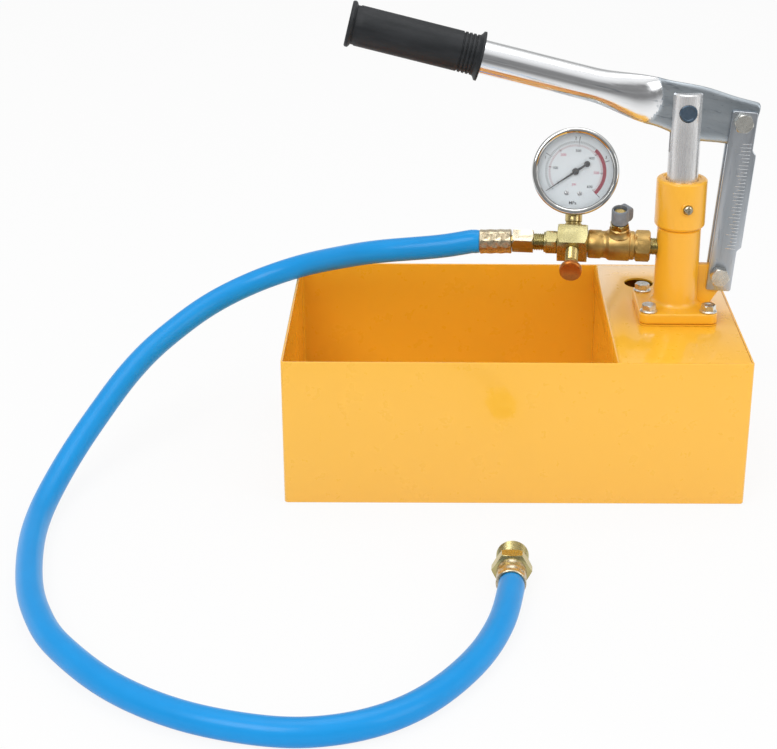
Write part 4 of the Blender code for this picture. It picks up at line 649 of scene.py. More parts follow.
# Painted shade: the pressed blade is the tube's own zinc, rougher as pressed, and darker in colour to stand in
# for the darker reflection it shows.
SHADED_BLADE_ZINC = Finish("shaded_blade_zinc", (0.42, 0.47, 0.51), (0.55, 0.60, 0.64), 1.0, (0.26, 0.42), 110, 1500,
                    (1, 1, 8), 0.22, mark=(0.33, 0.37, 0.41), mark_scale=560, mark_cover=0.18, slot="zinc")
PRESS_MARK = Finish("press_mark", (0.74, 0.77, 0.80), (0.84, 0.86, 0.88), 1.0, (0.20, 0.30), 300, 1200,
                    slot="zinc")
ZINC_TUBE = Finish("zinc_tube", (0.80, 0.81, 0.83), (0.88, 0.89, 0.90), 1.0, (0.10, 0.24), 60, 900,
                   (1, 1, 16), 0.16, mark=(0.58, 0.61, 0.64), mark_cover=0.14, slot="zinc")
ZINC_BOLT = Finish("zinc_bolt", (0.66, 0.65, 0.60), (0.78, 0.77, 0.72), 1.0, (0.22, 0.36), 200, 1600,
                   bump=0.14, mark=(0.52, 0.51, 0.48), mark_scale=900, mark_cover=0.14, slot="zinc")
STEEL = Finish("ground_steel", (0.70, 0.70, 0.71), (0.79, 0.79, 0.79), 0.68, (0.20, 0.36), 120, 1300,
               (1, 1, 26), 0.14, mark=(0.50, 0.49, 0.50), mark_scale=340, mark_cover=0.16, slot="steel")
DARK_STEEL = Finish("blued_steel", (0.120, 0.180, 0.250), (0.165, 0.225, 0.300), 1.0, (0.28, 0.42), 300, 1500,
                    bump=0.15, slot="dark_steel")
STAINLESS = Finish("stainless_sheet", (0.55, 0.56, 0.57), (0.64, 0.65, 0.66), 1.0, (0.18, 0.30), 80, 900,
                   slot="stainless")
CHROME = Finish("bright_chrome", (0.66, 0.67, 0.66), (0.72, 0.73, 0.72), 1.0, (0.05, 0.09), 60, 700,
                bump=0.04, bump_reach=0.00005, slot="chrome")
# The brass finishes that set under get painted shade on faces that turn down.
BRASS = Finish("turned_brass", (0.64, 0.48, 0.19), (0.72, 0.56, 0.25), 1.0, (0.20, 0.32), 90, 900, bump=0.08,
               mark=(0.50, 0.35, 0.13), mark_scale=500, mark_cover=0.12, under=UNDERSIDE_SHADE)
PALE_BRASS = Finish("pale_brass", (0.52, 0.46, 0.22), (0.60, 0.54, 0.28), 1.0, (0.20, 0.34), 70, 900,
                    bump=0.08, mark=(0.44, 0.34, 0.15), mark_scale=420, mark_cover=0.10,
                    under=(0.72, 0.68, 0.60))
NUT_BRASS = Finish("nut_brass", (0.86, 0.76, 0.54), (0.92, 0.84, 0.64), 1.0, (0.16, 0.28), 70, 900,
                   mark=(0.62, 0.48, 0.28), mark_scale=420, mark_cover=0.12, under=(0.42, 0.42, 0.44))
CAST_BRASS = Finish("cast_brass", (0.63, 0.40, 0.130), (0.74, 0.50, 0.185), 1.0, (0.34, 0.50), 150, 1100,
                    bump=0.20, bump_reach=0.00018, mark=(0.44, 0.28, 0.09), mark_scale=520, mark_cover=0.14,
                    under=UNDERSIDE_SHADE)
# Release knob: copper, its deep orange partly a painted reflection of the yellow tank.
COPPER_AND_TANK_REFLECTION = Finish("copper_tint", (0.42, 0.130, 0.020), (0.50, 0.170, 0.030), 0.75, (0.30, 0.42), 160, 900,
                     bump=0.2, mark=(0.30, 0.11, 0.03), mark_scale=600, mark_cover=0.2, slot="copper")
CRIMPED_BRASS = Finish("crimped_brass", (0.58, 0.48, 0.32), (0.74, 0.66, 0.48), 1.0, (0.24, 0.42), 260, 1200,
                       bump=0.25, bump_reach=0.0002, mark=(0.40, 0.31, 0.20), mark_scale=900, mark_cover=0.24,
                       under=(0.72, 0.70, 0.70))
DIAL_WHITE = Finish("dial_white", (0.62, 0.67, 0.70), (0.64, 0.69, 0.72), rough=(0.40, 0.46), broad=60,
                    fine=900, bump=0.02, bump_reach=0.00005, slot="dial")
INK = Finish("black_ink", (0.016, 0.020, 0.028), (0.026, 0.030, 0.038), rough=(0.45, 0.55), broad=300,
             fine=900, bump=0.02, bump_reach=0.00005, specular=0.2, slot="dial")
RED_INK = Finish("red_ink", (0.26, 0.012, 0.034), (0.31, 0.018, 0.042), rough=(0.42, 0.5), broad=300,
                 fine=900, bump=0.02, bump_reach=0.00005, specular=0.2, slot="dial")
PINK_INK = Finish("pink_ink", (0.46, 0.12, 0.20), (0.50, 0.15, 0.23), rough=(0.45, 0.5), broad=300, fine=900,
                  bump=0.02, bump_reach=0.00005, specular=0.2, slot="dial")
POINTER_BLACK = Finish("pointer_black", (0.006, 0.009, 0.013), (0.010, 0.013, 0.018), rough=(0.30, 0.38),
                       broad=300, fine=900, bump=0.03, bump_reach=0.00005, specular=0.3, slot="black_paint")
GLASS = Finish("gauge_glass", (0.95, 0.97, 0.98), (0.97, 0.98, 0.99), rough=(0.02, 0.03), broad=30, fine=300,
               bump=0.0, alpha=0.05, specular=0.8, slot="window")
GREY_COAT = Finish("grey_coating", (0.165, 0.185, 0.210), (0.215, 0.235, 0.260), rough=(0.36, 0.48),
                   broad=220, fine=1500, bump=0.3, slot="grey")
HOSE_BLUE = Finish("hose_cover", (0.003, 0.275, 0.680), (0.004, 0.290, 0.710), rough=(0.30, 0.38), broad=30,
                   fine=1400, coat=0.12, coat_rough=0.14, specular=0.25, slot="hose_blue")
RUBBER = Finish("grip_rubber", (0.010, 0.012, 0.014), (0.018, 0.020, 0.023), 0.0, (0.46, 0.62), 160, 1300,
                (1, 1, 4), 0.45, 0.0002, specular=0.36, slot="rubber")
SEAL = Finish("seal_white", (0.70, 0.70, 0.67), (0.78, 0.78, 0.75), rough=(0.42, 0.55), broad=200, fine=900,
              bump_reach=0.0002)


# Repeated pieces


class Repeat(Enum):
    """The two ways of repeating a piece with Geometry Nodes."""

    ON_LINE = "repeat_on_line"
    ON_ARC = "repeat_on_arc"

    def tree(self) -> bpy.types.NodeTree:
        """Tree that repeats a piece along a line or round +Z, each copy a random length.

        Returns:
            The tree.
        """
        inputs = {"Geometry": "Geometry", "Count": 8, "Start": "Vector", "Step": "Vector", "Radius": 0.0,
                  "First Turn": 0.0, "Turn": 0.0, "Least Length": 1.0, "Most Length": 1.0, "Seed": 1,
                  "Material": "Material"}
        tree, start, end = new_group(self.value, inputs, {"Geometry": "Geometry"}, "GeometryNodeTree")
        index = tree.node("GeometryNodeInputIndex").outputs[0]
        angle = tree.math("ADD", tree.math("MULTIPLY", index, start["Turn"]), start["First Turn"])
        if self is Repeat.ON_ARC:
            turns = [tree.math(way, angle) for way in ("COSINE", "SINE")]
            reach = [tree.math("MULTIPLY", turn, start["Radius"]) for turn in turns]
            where = tree.node("ShaderNodeCombineXYZ", dict(enumerate(reach)))
        else:
            steps = tree.node("ShaderNodeVectorMath", {0: start["Step"], "Scale": index}, operation="SCALE")
            where = tree.node("ShaderNodeVectorMath", {0: steps.outputs[0], 1: start["Start"]},
                              operation="ADD")
        points = tree.node("GeometryNodePoints", {"Count": start["Count"], "Position": where.outputs[0]})
        length = tree.node("FunctionNodeRandomValue", {2: start["Least Length"], 3: start["Most Length"],
                                                       "Seed": start["Seed"]}, data_type="FLOAT")
        copies = tree.node("GeometryNodeInstanceOnPoints", {
            "Points": points.outputs[0], "Instance": start["Geometry"],
            "Rotation": tree.node("ShaderNodeCombineXYZ", {2: angle}).outputs[0],
            "Scale": tree.node("ShaderNodeCombineXYZ", {0: length.outputs[1], 1: 1, 2: 1}).outputs[0]})
        real = tree.node("GeometryNodeRealizeInstances", {0: copies.outputs[0]})
        coat = tree.node("GeometryNodeSetMaterial", {"Geometry": real.outputs[0],
                                                     "Material": start["Material"]})
        tree.wire(end, {0: coat.outputs[0]})
        return tree.tree

    def apply(self, piece: Thing, finish: Finish, **values: object) -> Thing:
        """Repeat a piece and keep the result as its plain mesh.

        Args:
            piece: One copy, drawn where the first stands.
            finish: Finish of the copies.
            values: Inputs of the tree by name, underscores standing for spaces.

        Returns:
            The piece.
        """
        group = bpy.data.node_groups.get(self.value) or self.tree()
        modifier = piece.modifiers.new(self.value, "NODES")
        modifier.node_group = group
        named = {item.name: item.identifier for item in group.interface.items_tree if item.in_out == "INPUT"}
        for key, value in {**values, "Material": finish.material()}.items():
            modifier[named[key.replace("_", " ")]] = value
        piece.update_tag()
        bpy.context.view_layer.update()
        return plain_mesh(piece)


# Places that more than one sub-assembly uses


@dataclass(frozen=True)
class Layout:
    """Axes and heights that the sub-assemblies share."""

    half_width: float = 0.170
    half_depth: float = 0.105
    tank_height: float = 0.113
    sheet: float = 0.0015
    pump_x: float = 0.1245
    pump_y: float = -0.003
    flange_low: float = 0.0015
    flange_top: float = 0.0095
    bolt_square: float = 0.045
    bolt_hole: float = 0.0033
    manifold_height: float = 0.0528
    manifold_yaw: float = math.radians(6)
    tee_centre: float = 0.0797
    gauge_tilt_deg: float = 110
    hose_seat: float = 0.117716
    link_top: Point = (0.0407, 0.1522)  # x and z from the pump's foot
    link_foot: Point = (0.0314, 0.0329)  # the same
    pin_height: float = 0.1590
    lever_slope: float = math.radians(13.77)

    @property
    def foot(self) -> Vector:
        """Where the pump's axis meets the deck."""
        return Vector((self.pump_x, self.pump_y, self.tank_height))

    @property
    def along(self) -> Vector:
        """Way from the pump along the manifold."""
        return Vector((-math.cos(self.manifold_yaw), math.sin(self.manifold_yaw), 0))

    @property
    def front(self) -> Vector:
        """Horizontal way square to the manifold, to the front."""
        return Vector((-math.sin(self.manifold_yaw), -math.cos(self.manifold_yaw), 0))

    @property
    def manifold(self) -> Matrix:
        """Frame on the manifold's axis, +Z along it and +X to the front."""
        return stand(self.on_manifold(0), self.along, self.front)

    @property
    def bolt_corners(self) -> list[Point]:
        """Centres of the flange's bolts, from the pump's axis."""
        half = self.bolt_square / 2
        return [(a * half, b * half) for a in (-1, 1) for b in (-1, 1)]

    def on_manifold(self, distance: float) -> Vector:
        """Point on the manifold's axis, a distance from the pump's axis."""
        return self.foot + UP * self.manifold_height + self.along * distance

    def round_manifold(self, tilt_deg: float) -> Vector:
        """Way square to the manifold, tilted up from the front."""
        tilt = math.radians(tilt_deg)
        return self.front * math.cos(tilt) + UP * math.sin(tilt)

    def beside(self, x: float, z: float) -> Vector:
        """Point in the pump's mid plane, from its foot."""
        return self.foot + Vector((x, 0, z))


HERE = Layout()


# Studio


@dataclass(frozen=True)
class Lamp:
    """A soft panel: where it stands, what it looks at, its width and height, and its watts."""

    name: str
    place: Triple
    target: Triple
    size: Point
    power: float

    def build(self) -> None:
        """Hang the lamp, hidden from the camera."""
        data = bpy.data.lights.new(self.name, "AREA")
        data.shape = "RECTANGLE"
        data.size, data.size_y = self.size
        data.energy = self.power
        lamp = in_scene(self.name, data)
        lamp.location = self.place
        aim = Vector(self.target) - Vector(self.place)
        lamp.rotation_euler = aim.to_track_quat("-Z", "Y").to_euler()
        lamp.visible_camera = False


@dataclass
class Studio:
    """Camera, floor, lamps and surround.

    The walls, the ambient light and the floor's mirror image are stops of position and grey. The first two
    go from level to straight up, the last from the floor's front to its back.
    """

    camera_place: Triple = (-0.064246, -1.256413, 0.601195)
    yaw_deg: float = -0.781
    pitch_deg: float = 23.355
    roll_deg: float = 0.574
    lens: float = 81.08
    sensor: float = 36.0
    shift: float = -0.0792
    clip: Point = (0.05, 60.0)  # nearest and farthest that the camera sees
    floor_reach: float = 6.0
    floor_drop: float = 0.0001
    floor_thick: float = 0.01
    floor_grey: tuple[float, ...] = (0.80, 0.80, 0.80, 1)
    floor_seen: float = 0.90
    floor_mirrored: float = 0.94
    floor_range: Point = (-1.2, 0.2)
    floor_mirror: Profile = ((0.0, 0.20), (0.20, 0.24), (0.34, 0.42), (0.57, 0.82), (0.70, 1.0))
    back_wall: Profile = ((0.0, 0.96), (0.26, 0.96), (0.31, 0.36), (0.352, 0.30), (0.392, 0.60), (0.60, 0.34),
                          (0.76, 0.90), (1.0, 1.0))
    near_wall: Profile = ((0.0, 0.34), (0.06, 0.24), (0.46, 0.26), (0.62, 0.72), (0.80, 1.0), (1.0, 1.0))
    walls_meet: Point = (-0.25, 0.25)  # y of the view, front and back
    ambient: Profile = ((0.0, 0.96), (1.0, 0.56))
    lamps: tuple[Lamp, ...] = (
        Lamp("key_lamp", (-0.9, -1.5, 1.7), (0.0, 0.0, 0.12), (1.1, 1.1), 16.0),
        Lamp("fill_lamp", (1.7, -1.2, 1.0), (0.05, 0.0, 0.12), (1.2, 1.2), 8.0),
        Lamp("top_lamp", (0.1, 0.2, 2.2), (0.0, 0.0, 0.1), (1.5, 1.5), 10.5))

    def build(self) -> None:
        """Make the camera, floor, lamps and world."""
        self.camera()
        self.floor()
        for lamp in self.lamps:
            lamp.build()
        self.surround()
        bpy.context.scene.view_settings.view_transform = "Standard"

    def camera(self) -> None:
        """Stand the camera where the photograph was taken from."""
        yaw, pitch, roll = (math.radians(a) for a in (self.yaw_deg, self.pitch_deg, self.roll_deg))
        right = Vector((math.cos(yaw), math.sin(yaw), 0))
        ahead = Vector((-math.sin(yaw) * math.cos(pitch), math.cos(yaw) * math.cos(pitch), -math.sin(pitch)))
        above = right.cross(ahead)
        turned_right = right * math.cos(roll) + above * math.sin(roll)
        turned_above = above * math.cos(roll) - right * math.sin(roll)
        data = bpy.data.cameras.new("camera")
        data.lens = self.lens
        data.sensor_width = self.sensor
        data.shift_x = self.shift
        data.clip_start, data.clip_end = self.clip
        camera = in_scene("camera", data)
        matrix = Matrix((turned_right, turned_above, -ahead)).transposed().to_4x4()
        matrix.translation = Vector(self.camera_place)
        camera.matrix_world = matrix
        bpy.context.scene.camera = camera

    def floor(self) -> None:
        """Lay a pale floor that reads as the white background and keeps a soft shadow."""
        outline = oblong(-self.floor_reach, self.floor_reach, -self.floor_reach, self.floor_reach)
        ground = extrude(outline, -self.floor_drop - self.floor_thick, -self.floor_drop, "floor")
        material = bpy.data.materials.new("floor_white")
        material.use_nodes = True
        tree = Tree(material.node_tree, clear=True)
        path = tree.node("ShaderNodeLightPath").outputs
        where = tree.node("ShaderNodeTexCoord").outputs["Object"]
        depth = tree.node("ShaderNodeSeparateXYZ", {0: where}).outputs["Y"]
        tone = tree.mix(path["Is Glossy Ray"], WHITE, tree.grey(depth, self.floor_mirror, *self.floor_range))
        glow = tree.node("ShaderNodeEmission", {"Color": tone})
        pale = tree.node("ShaderNodeBsdfDiffuse", {"Color": self.floor_grey})
        seen = tree.math("MULTIPLY", tree.seen_directly(path), self.floor_seen)
        mirrored = tree.math("MULTIPLY", path["Is Glossy Ray"], self.floor_mirrored)
        share = tree.math("MAXIMUM", seen, mirrored)
        mix = tree.node("ShaderNodeMixShader", {0: share, 1: pale.outputs[0], 2: glow.outputs[0]})
        tree.node("ShaderNodeOutputMaterial", {"Surface": mix.outputs[0]})
        ground.data.materials.append(material)

    def surround(self) -> None:
        """White background for the camera; white sheet, dark room and soft ceiling in reflections."""
        world = bpy.data.worlds.new("studio")
        bpy.context.scene.world = world
        world.use_nodes = True
        tree = Tree(world.node_tree, clear=True)
        path = tree.node("ShaderNodeLightPath").outputs
        where = tree.node("ShaderNodeTexCoord").outputs["Generated"]
        way = tree.node("ShaderNodeSeparateXYZ", {0: where}).outputs
        near, back = (tree.grey(way["Z"], wall) for wall in (self.near_wall, self.back_wall))
        room = tree.mix(tree.band(way["Y"], *self.walls_meet), near, back)
        light = tree.mix(path["Is Glossy Ray"], tree.grey(way["Z"], self.ambient), room)
        shown = tree.mix(tree.seen_directly(path), light, WHITE)
        background = tree.node("ShaderNodeBackground", {"Color": shown})
        tree.node("ShaderNodeOutputWorld", {"Surface": background.outputs[0]})


# Hose


HOSE_ROUTE = (
    (-0.0449, 0.0150, 0.1606), (-0.0629, 0.0178, 0.1574), (-0.1035, 0.0285, 0.1500),
    (-0.1330, 0.0470, 0.1386), (-0.1678, 0.0670, 0.1236), (-0.2060, 0.0670, 0.1093),
    (-0.2405, 0.0500, 0.0960), (-0.2709, 0.0240, 0.0798), (-0.2870, 0.0040, 0.0696),
    (-0.3003, -0.0200, 0.0591), (-0.3130, -0.0460, 0.0462), (-0.3245, -0.0700, 0.0336),
    (-0.3351, -0.0990, 0.0203), (-0.3417, -0.1389, 0.0105), (-0.3389, -0.1872, 0.0091),
    (-0.3280, -0.2440, 0.0091), (-0.3130, -0.2849, 0.0091), (-0.2953, -0.3158, 0.0091),
    (-0.2561, -0.3599, 0.0091), (-0.2100, -0.3908, 0.0091), (-0.1610, -0.4066, 0.0091),
    (-0.1248, -0.4076, 0.0091), (-0.0897, -0.3954, 0.0091), (-0.0598, -0.3704, 0.0091),
    (-0.0328, -0.3303, 0.0093), (-0.0165, -0.2894, 0.0105))


def run_length(line: Sequence[Vector]) -> float:
    """Length of a line of points."""
    return sum((b - a).length for a, b in zip(line, line[1:]))


def catmull(knots: Sequence[Vector], steps: int = 24) -> list[Vector]:
    """Dense smooth line through the knots.

    Args:
        knots: Points to pass through.
        steps: Samples between two knots.

    Returns:
        The samples.
    """
    padded = [knots[0] * 2 - knots[1], *knots, knots[-1] * 2 - knots[-2]]
    line = []
    for before, start, end, after in zip(padded, padded[1:], padded[2:], padded[3:]):
        for k in range(steps):
            t = k / steps
            square = before * 2 - start * 5 + end * 4 - after
            cube = start * 3 - before - end * 3 + after
            line.append(0.5 * (start * 2 + (end - before) * t + square * t * t + cube * t ** 3))
    return [*line, knots[-1]]


def spread(line: Sequence[Vector], step: float) -> list[Vector]:
    """Even points along a line, about a step apart.

    Args:
        line: Dense points.
        step: Wanted distance.

    Returns:
        The even points.
    """
    total = run_length(line)
    count = max(2, round(total / step))
    even = [line[0].copy()]
    run = 0.0
    for a, b in zip(line, line[1:]):
        length = (b - a).length
        while len(even) < count and run + length >= total * len(even) / count:
            even.append(a.lerp(b, (total * len(even) / count - run) / length))
        run += length
    return [*even, line[-1].copy()]


def smooth_line(line: Sequence[Vector], rounds: int, held: int = 3) -> list[Vector]:
    """Ease out small kinks.

    Args:
        line: Even points.
        rounds: How often each point moves halfway towards its neighbours' middle.
        held: How many points at each end stay.

    Returns:
        The eased points.
    """
    points = [p.copy() for p in line]
    for _ in range(rounds):
        eased = [p.copy() for p in points]
        for i in range(held, len(points) - held):
            eased[i] = points[i] * 0.5 + (points[i - 1] + points[i + 1]) * 0.25
        points = eased
    return points


@dataclass
class HoseRun:
    """Blue pressure hose with a crimped ferrule at each end and the far fitting."""

    radius: float = 0.0090
    end_share: float = 0.955
    droop: float = math.radians(3)
    step: float = 0.003
    sides: int = 40
    rounds: int = 14
    ferrule_start: float = 0.1263
    ferrule_radius: float = 0.00935
    ferrule_bore: float = 0.0049
    ferrule_length: float = 0.0241
    ferrule_lip: float = 0.0006
    ferrule_rows: int = 3
    press_depth: float = 0.0009
    press_between: float = 0.35
    press_dies: int = 8
    press_steps: int = 12
    far_end: Triple = (-0.0085, -0.2433, 0.0122)
    far_turn: float = math.radians(4)
    far_ferrule_radius: float = 0.0103
    far_ferrule_length: float = 0.0160
    far_ferrule_rows: int = 2
    far_bore: float = 0.0060
    far_hex: float = 0.0240
    far_hex_length: float = 0.0090
    far_hex_chamfer: float = 0.0014
    far_hex_turn_deg: float = 90
    far_thread: float = 0.0170
    far_thread_radius: float = 0.0111
    far_thread_pitch: float = 0.0018
    far_thread_depth: float = 0.0009
    far_groove: Point = (0.0012, 0.0022)  # depth and width
    far_root: float = 0.0030
    far_mouth: Point = (0.0018, 0.0016)  # widening and depth

    def build(self) -> None:
        """Make the hose and its ends."""
        self.hose([self.near_ferrule(), self.far_ferrule(), self.far_fitting()])

    def near_line(self) -> tuple[Vector, Vector]:
        """Start and direction of the near ferrule."""
        along = HERE.along * math.cos(self.droop) - UP * math.sin(self.droop)
        return HERE.on_manifold(HERE.hose_seat) + along * (self.ferrule_start - HERE.hose_seat), along

    def far_line(self) -> tuple[Vector, Vector]:
        """Start and direction of the far ferrule."""
        return Vector(self.far_end), Vector((math.sin(self.far_turn), math.cos(self.far_turn), 0))

    def far_place(self) -> Matrix:
        """Frame at the far ferrule, +Z out along the hose's end."""
        origin, along = self.far_line()
        return stand(origin, along, Vector((along.y, -along.x, 0)))

    def crimped(self, name: str, outer: float, inner: float, length: float, rows: int) -> Thing:
        """Ferrule with pressed rows of flats.

        Args:
            name: Name of the piece.
            outer: Outer radius.
            inner: Inner radius.
            length: Its length.
            rows: Number of pressed rows.

        Returns:
            The piece, along +Z from zero.
        """
        lip = self.ferrule_lip
        steps = rows * self.press_steps
        profile = [(inner, 0), (outer - lip, 0)]
        profile += [(outer, i * (length - 2 * lip) / steps + lip) for i in range(steps + 1)]
        profile += [(outer - lip, length), (inner, length)]

        def press(radius: float, turn: float, height: float) -> float:
            """Radius after the crimping dies, which leave flats in rows.

            Args:
                radius: Radius before.
                turn: Angle round the ferrule.
                height: Height along it.

            Returns:
                The radius after.
            """
            row = math.sin(math.pi * rows * height / length) ** 2 if radius >= outer else 0
            flat = (1 - self.press_between) * (0.5 + 0.5 * math.cos(self.press_dies * turn))
            return radius - self.press_depth * row * (self.press_between + flat)

        return lathe(profile, name, ROUND, True, press)

    def near_ferrule(self) -> Thing:
        """Ferrule at the manifold.

        Returns:
            The piece.
        """
        piece = self.crimped("near_ferrule_crimped", self.ferrule_radius, self.ferrule_bore,
                             self.ferrule_length, self.ferrule_rows)
        return CRIMPED_BRASS.grained(piece, "hose_ferrule", stand(*self.near_line(), HERE.front), "near")

    def far_ferrule(self) -> Thing:
        """Ferrule at the far end.

        Returns:
            The piece.
        """
        piece = self.crimped("far_ferrule_crimped", self.far_ferrule_radius, self.far_bore,
                             self.far_ferrule_length, self.far_ferrule_rows)
        return CRIMPED_BRASS.grained(piece, "far_ferrule", self.far_place(), "far")

    def far_fitting(self) -> Thing:
        """Hexagon and male thread on the far end.

        Returns:
            The piece.
        """
        low = self.far_ferrule_length + GAP
        high = low + self.far_hex_length
        end = high + self.far_thread
        piece = hexagon(self.far_hex, low, high, "far_fitting_turned", self.far_hex_chamfer,
                        self.far_hex_turn_deg)
        radius, depth = self.far_thread_radius, self.far_thread_depth
        waist, neck = self.far_groove
        profile = [(0, high - self.far_root), (radius - waist, high - self.far_root),
                   (radius - waist, high + neck)]
        profile += ringed(radius, high + neck, end - neck - FIT, self.far_thread_pitch, depth)
        profile += [(radius - depth, end - neck), (radius - neck, end), (0, end)]
        work(piece, Solid.JOIN, lathe(profile))
        wide, deep = self.far_mouth
        bore = [(0, low - OVER), (self.far_bore, low - OVER), (self.far_bore, end - deep),
                (self.far_bore + wide, end + FIT), (0, end + FIT)]
        work(piece, Solid.CUT, lathe(bore, segments=SMALL_ROUND))
        return PALE_BRASS.grained(piece, "far_fitting", self.far_place(), "far")

    def centreline(self) -> list[Vector]:
        """Smooth line of the hose, from ferrule to ferrule.

        Returns:
            Its points.
        """
        origin, along = self.near_line()
        start = origin + along * (self.ferrule_length + GAP)
        far_origin, far_along = self.far_line()
        end = far_origin - far_along * GAP
        knots = [start, start + along * self.radius] + [Vector(p) for p in HOSE_ROUTE]
        knots += [end - far_along * self.radius, end]
        return smooth_line(spread(catmull(knots), self.step), self.rounds)

    def hose(self, ends: Sequence[Thing]) -> None:
        """Args:
            ends: The pieces that sit on it. Not used.
        """
        line = self.centreline()
        angles = [2 * math.pi * k / self.sides for k in range(self.sides)]
        last = len(line) - 1
        rows = []
        side = UP
        for i, point in enumerate(line):
            ahead = (line[min(i + 1, last)] - line[max(i - 1, 0)]).normalized()
            side = (side - ahead * side.dot(ahead)).normalized()
            third = ahead.cross(side)
            radius = self.radius * (self.end_share if i in (0, last) else 1.0)
            rows.append([point + (side * math.cos(a) + third * math.sin(a)) * radius for a in angles])
        piece = HOSE_BLUE.dress(skin(rows, "hose_cover"), ["hose"])
        length = run_length(line)
        tuple(line[0])
        [tuple(p) for p in line]
        log.info("hose is %.3f m long", length)


# Tank


@dataclass
class Tank:
    """Open tank of folded sheet, its deck, partition and gasket."""

    corner: float = 0.0022
    edge: float = 0.0012
    edge_middle: float = 0.00036
    rim_edge: float = 0.00035
    deck_left: float = 0.072
    deck_edge: float = 0.0003
    bend: float = 0.0034
    lip: float = 0.018
    drain: Triple = (0.1043, 0.0613, 0.0115)  # x, y and radius
    suction_radius: float = 0.0090

    def build(self) -> None:
        """Make the tank's pieces."""
        self.shell()
        self.deck()
        YELLOW_PAINT.repaint("partition_plate")
        CAST_PAINT.repaint("base_gasket")

    def shell(self) -> None:
        """Folded box with soft vertical corners and a thin rim."""
        top, sheet, rim = HERE.tank_height, HERE.sheet, self.rim_edge
        edge, ease = self.edge, self.edge_middle
        rings = ((edge, 0), (ease, ease), (0, edge), (0, top - rim), (rim, top), (sheet - rim, top),
                 (sheet, top - rim), (sheet, sheet + edge), (sheet + ease, sheet + ease),
                 (sheet + edge, sheet))
        rows = [[Vector((x, y, rise)) for x, y in
                 round_rectangle(HERE.half_width - inset, HERE.half_depth - inset, self.corner)]
                for inset, rise in rings]
        YELLOW_PAINT.dress(skin(rows, "tank_sheet"), ["tank_shell"])

    def deck(self) -> None:
        """Deck sheet with its bent edge, the drain hole and the bolt holes."""
        top, sheet, left = HERE.tank_height, HERE.sheet, self.deck_left
        right = HERE.half_width - sheet - GAP
        wall = HERE.half_depth - sheet - GAP
        centre = (left + self.bend, top - self.bend)
        outline = [(right, top)] + arc(centre, self.bend, 90, 180)
        outline += [(left, top - self.lip), (left + sheet, top - self.lip)]
        outline += arc(centre, self.bend - sheet, 180, 90, 6) + [(right, top - sheet)]
        piece = settle(extrude(outline, -wall, wall, "deck_sheet"), FACE_ON)
        soften(piece, self.deck_edge, 2, 60)
        holes = [self.drain, (HERE.pump_x, HERE.pump_y, self.suction_radius)]
        holes += [(HERE.pump_x + x, HERE.pump_y + y, HERE.bolt_hole) for x, y in HERE.bolt_corners]
        for x, y, radius in holes:
            drill(piece, radius, -2 * sheet, sheet, (x, y, top))
        YELLOW_PAINT.dress(piece, ["deck_plate"])


# Pump


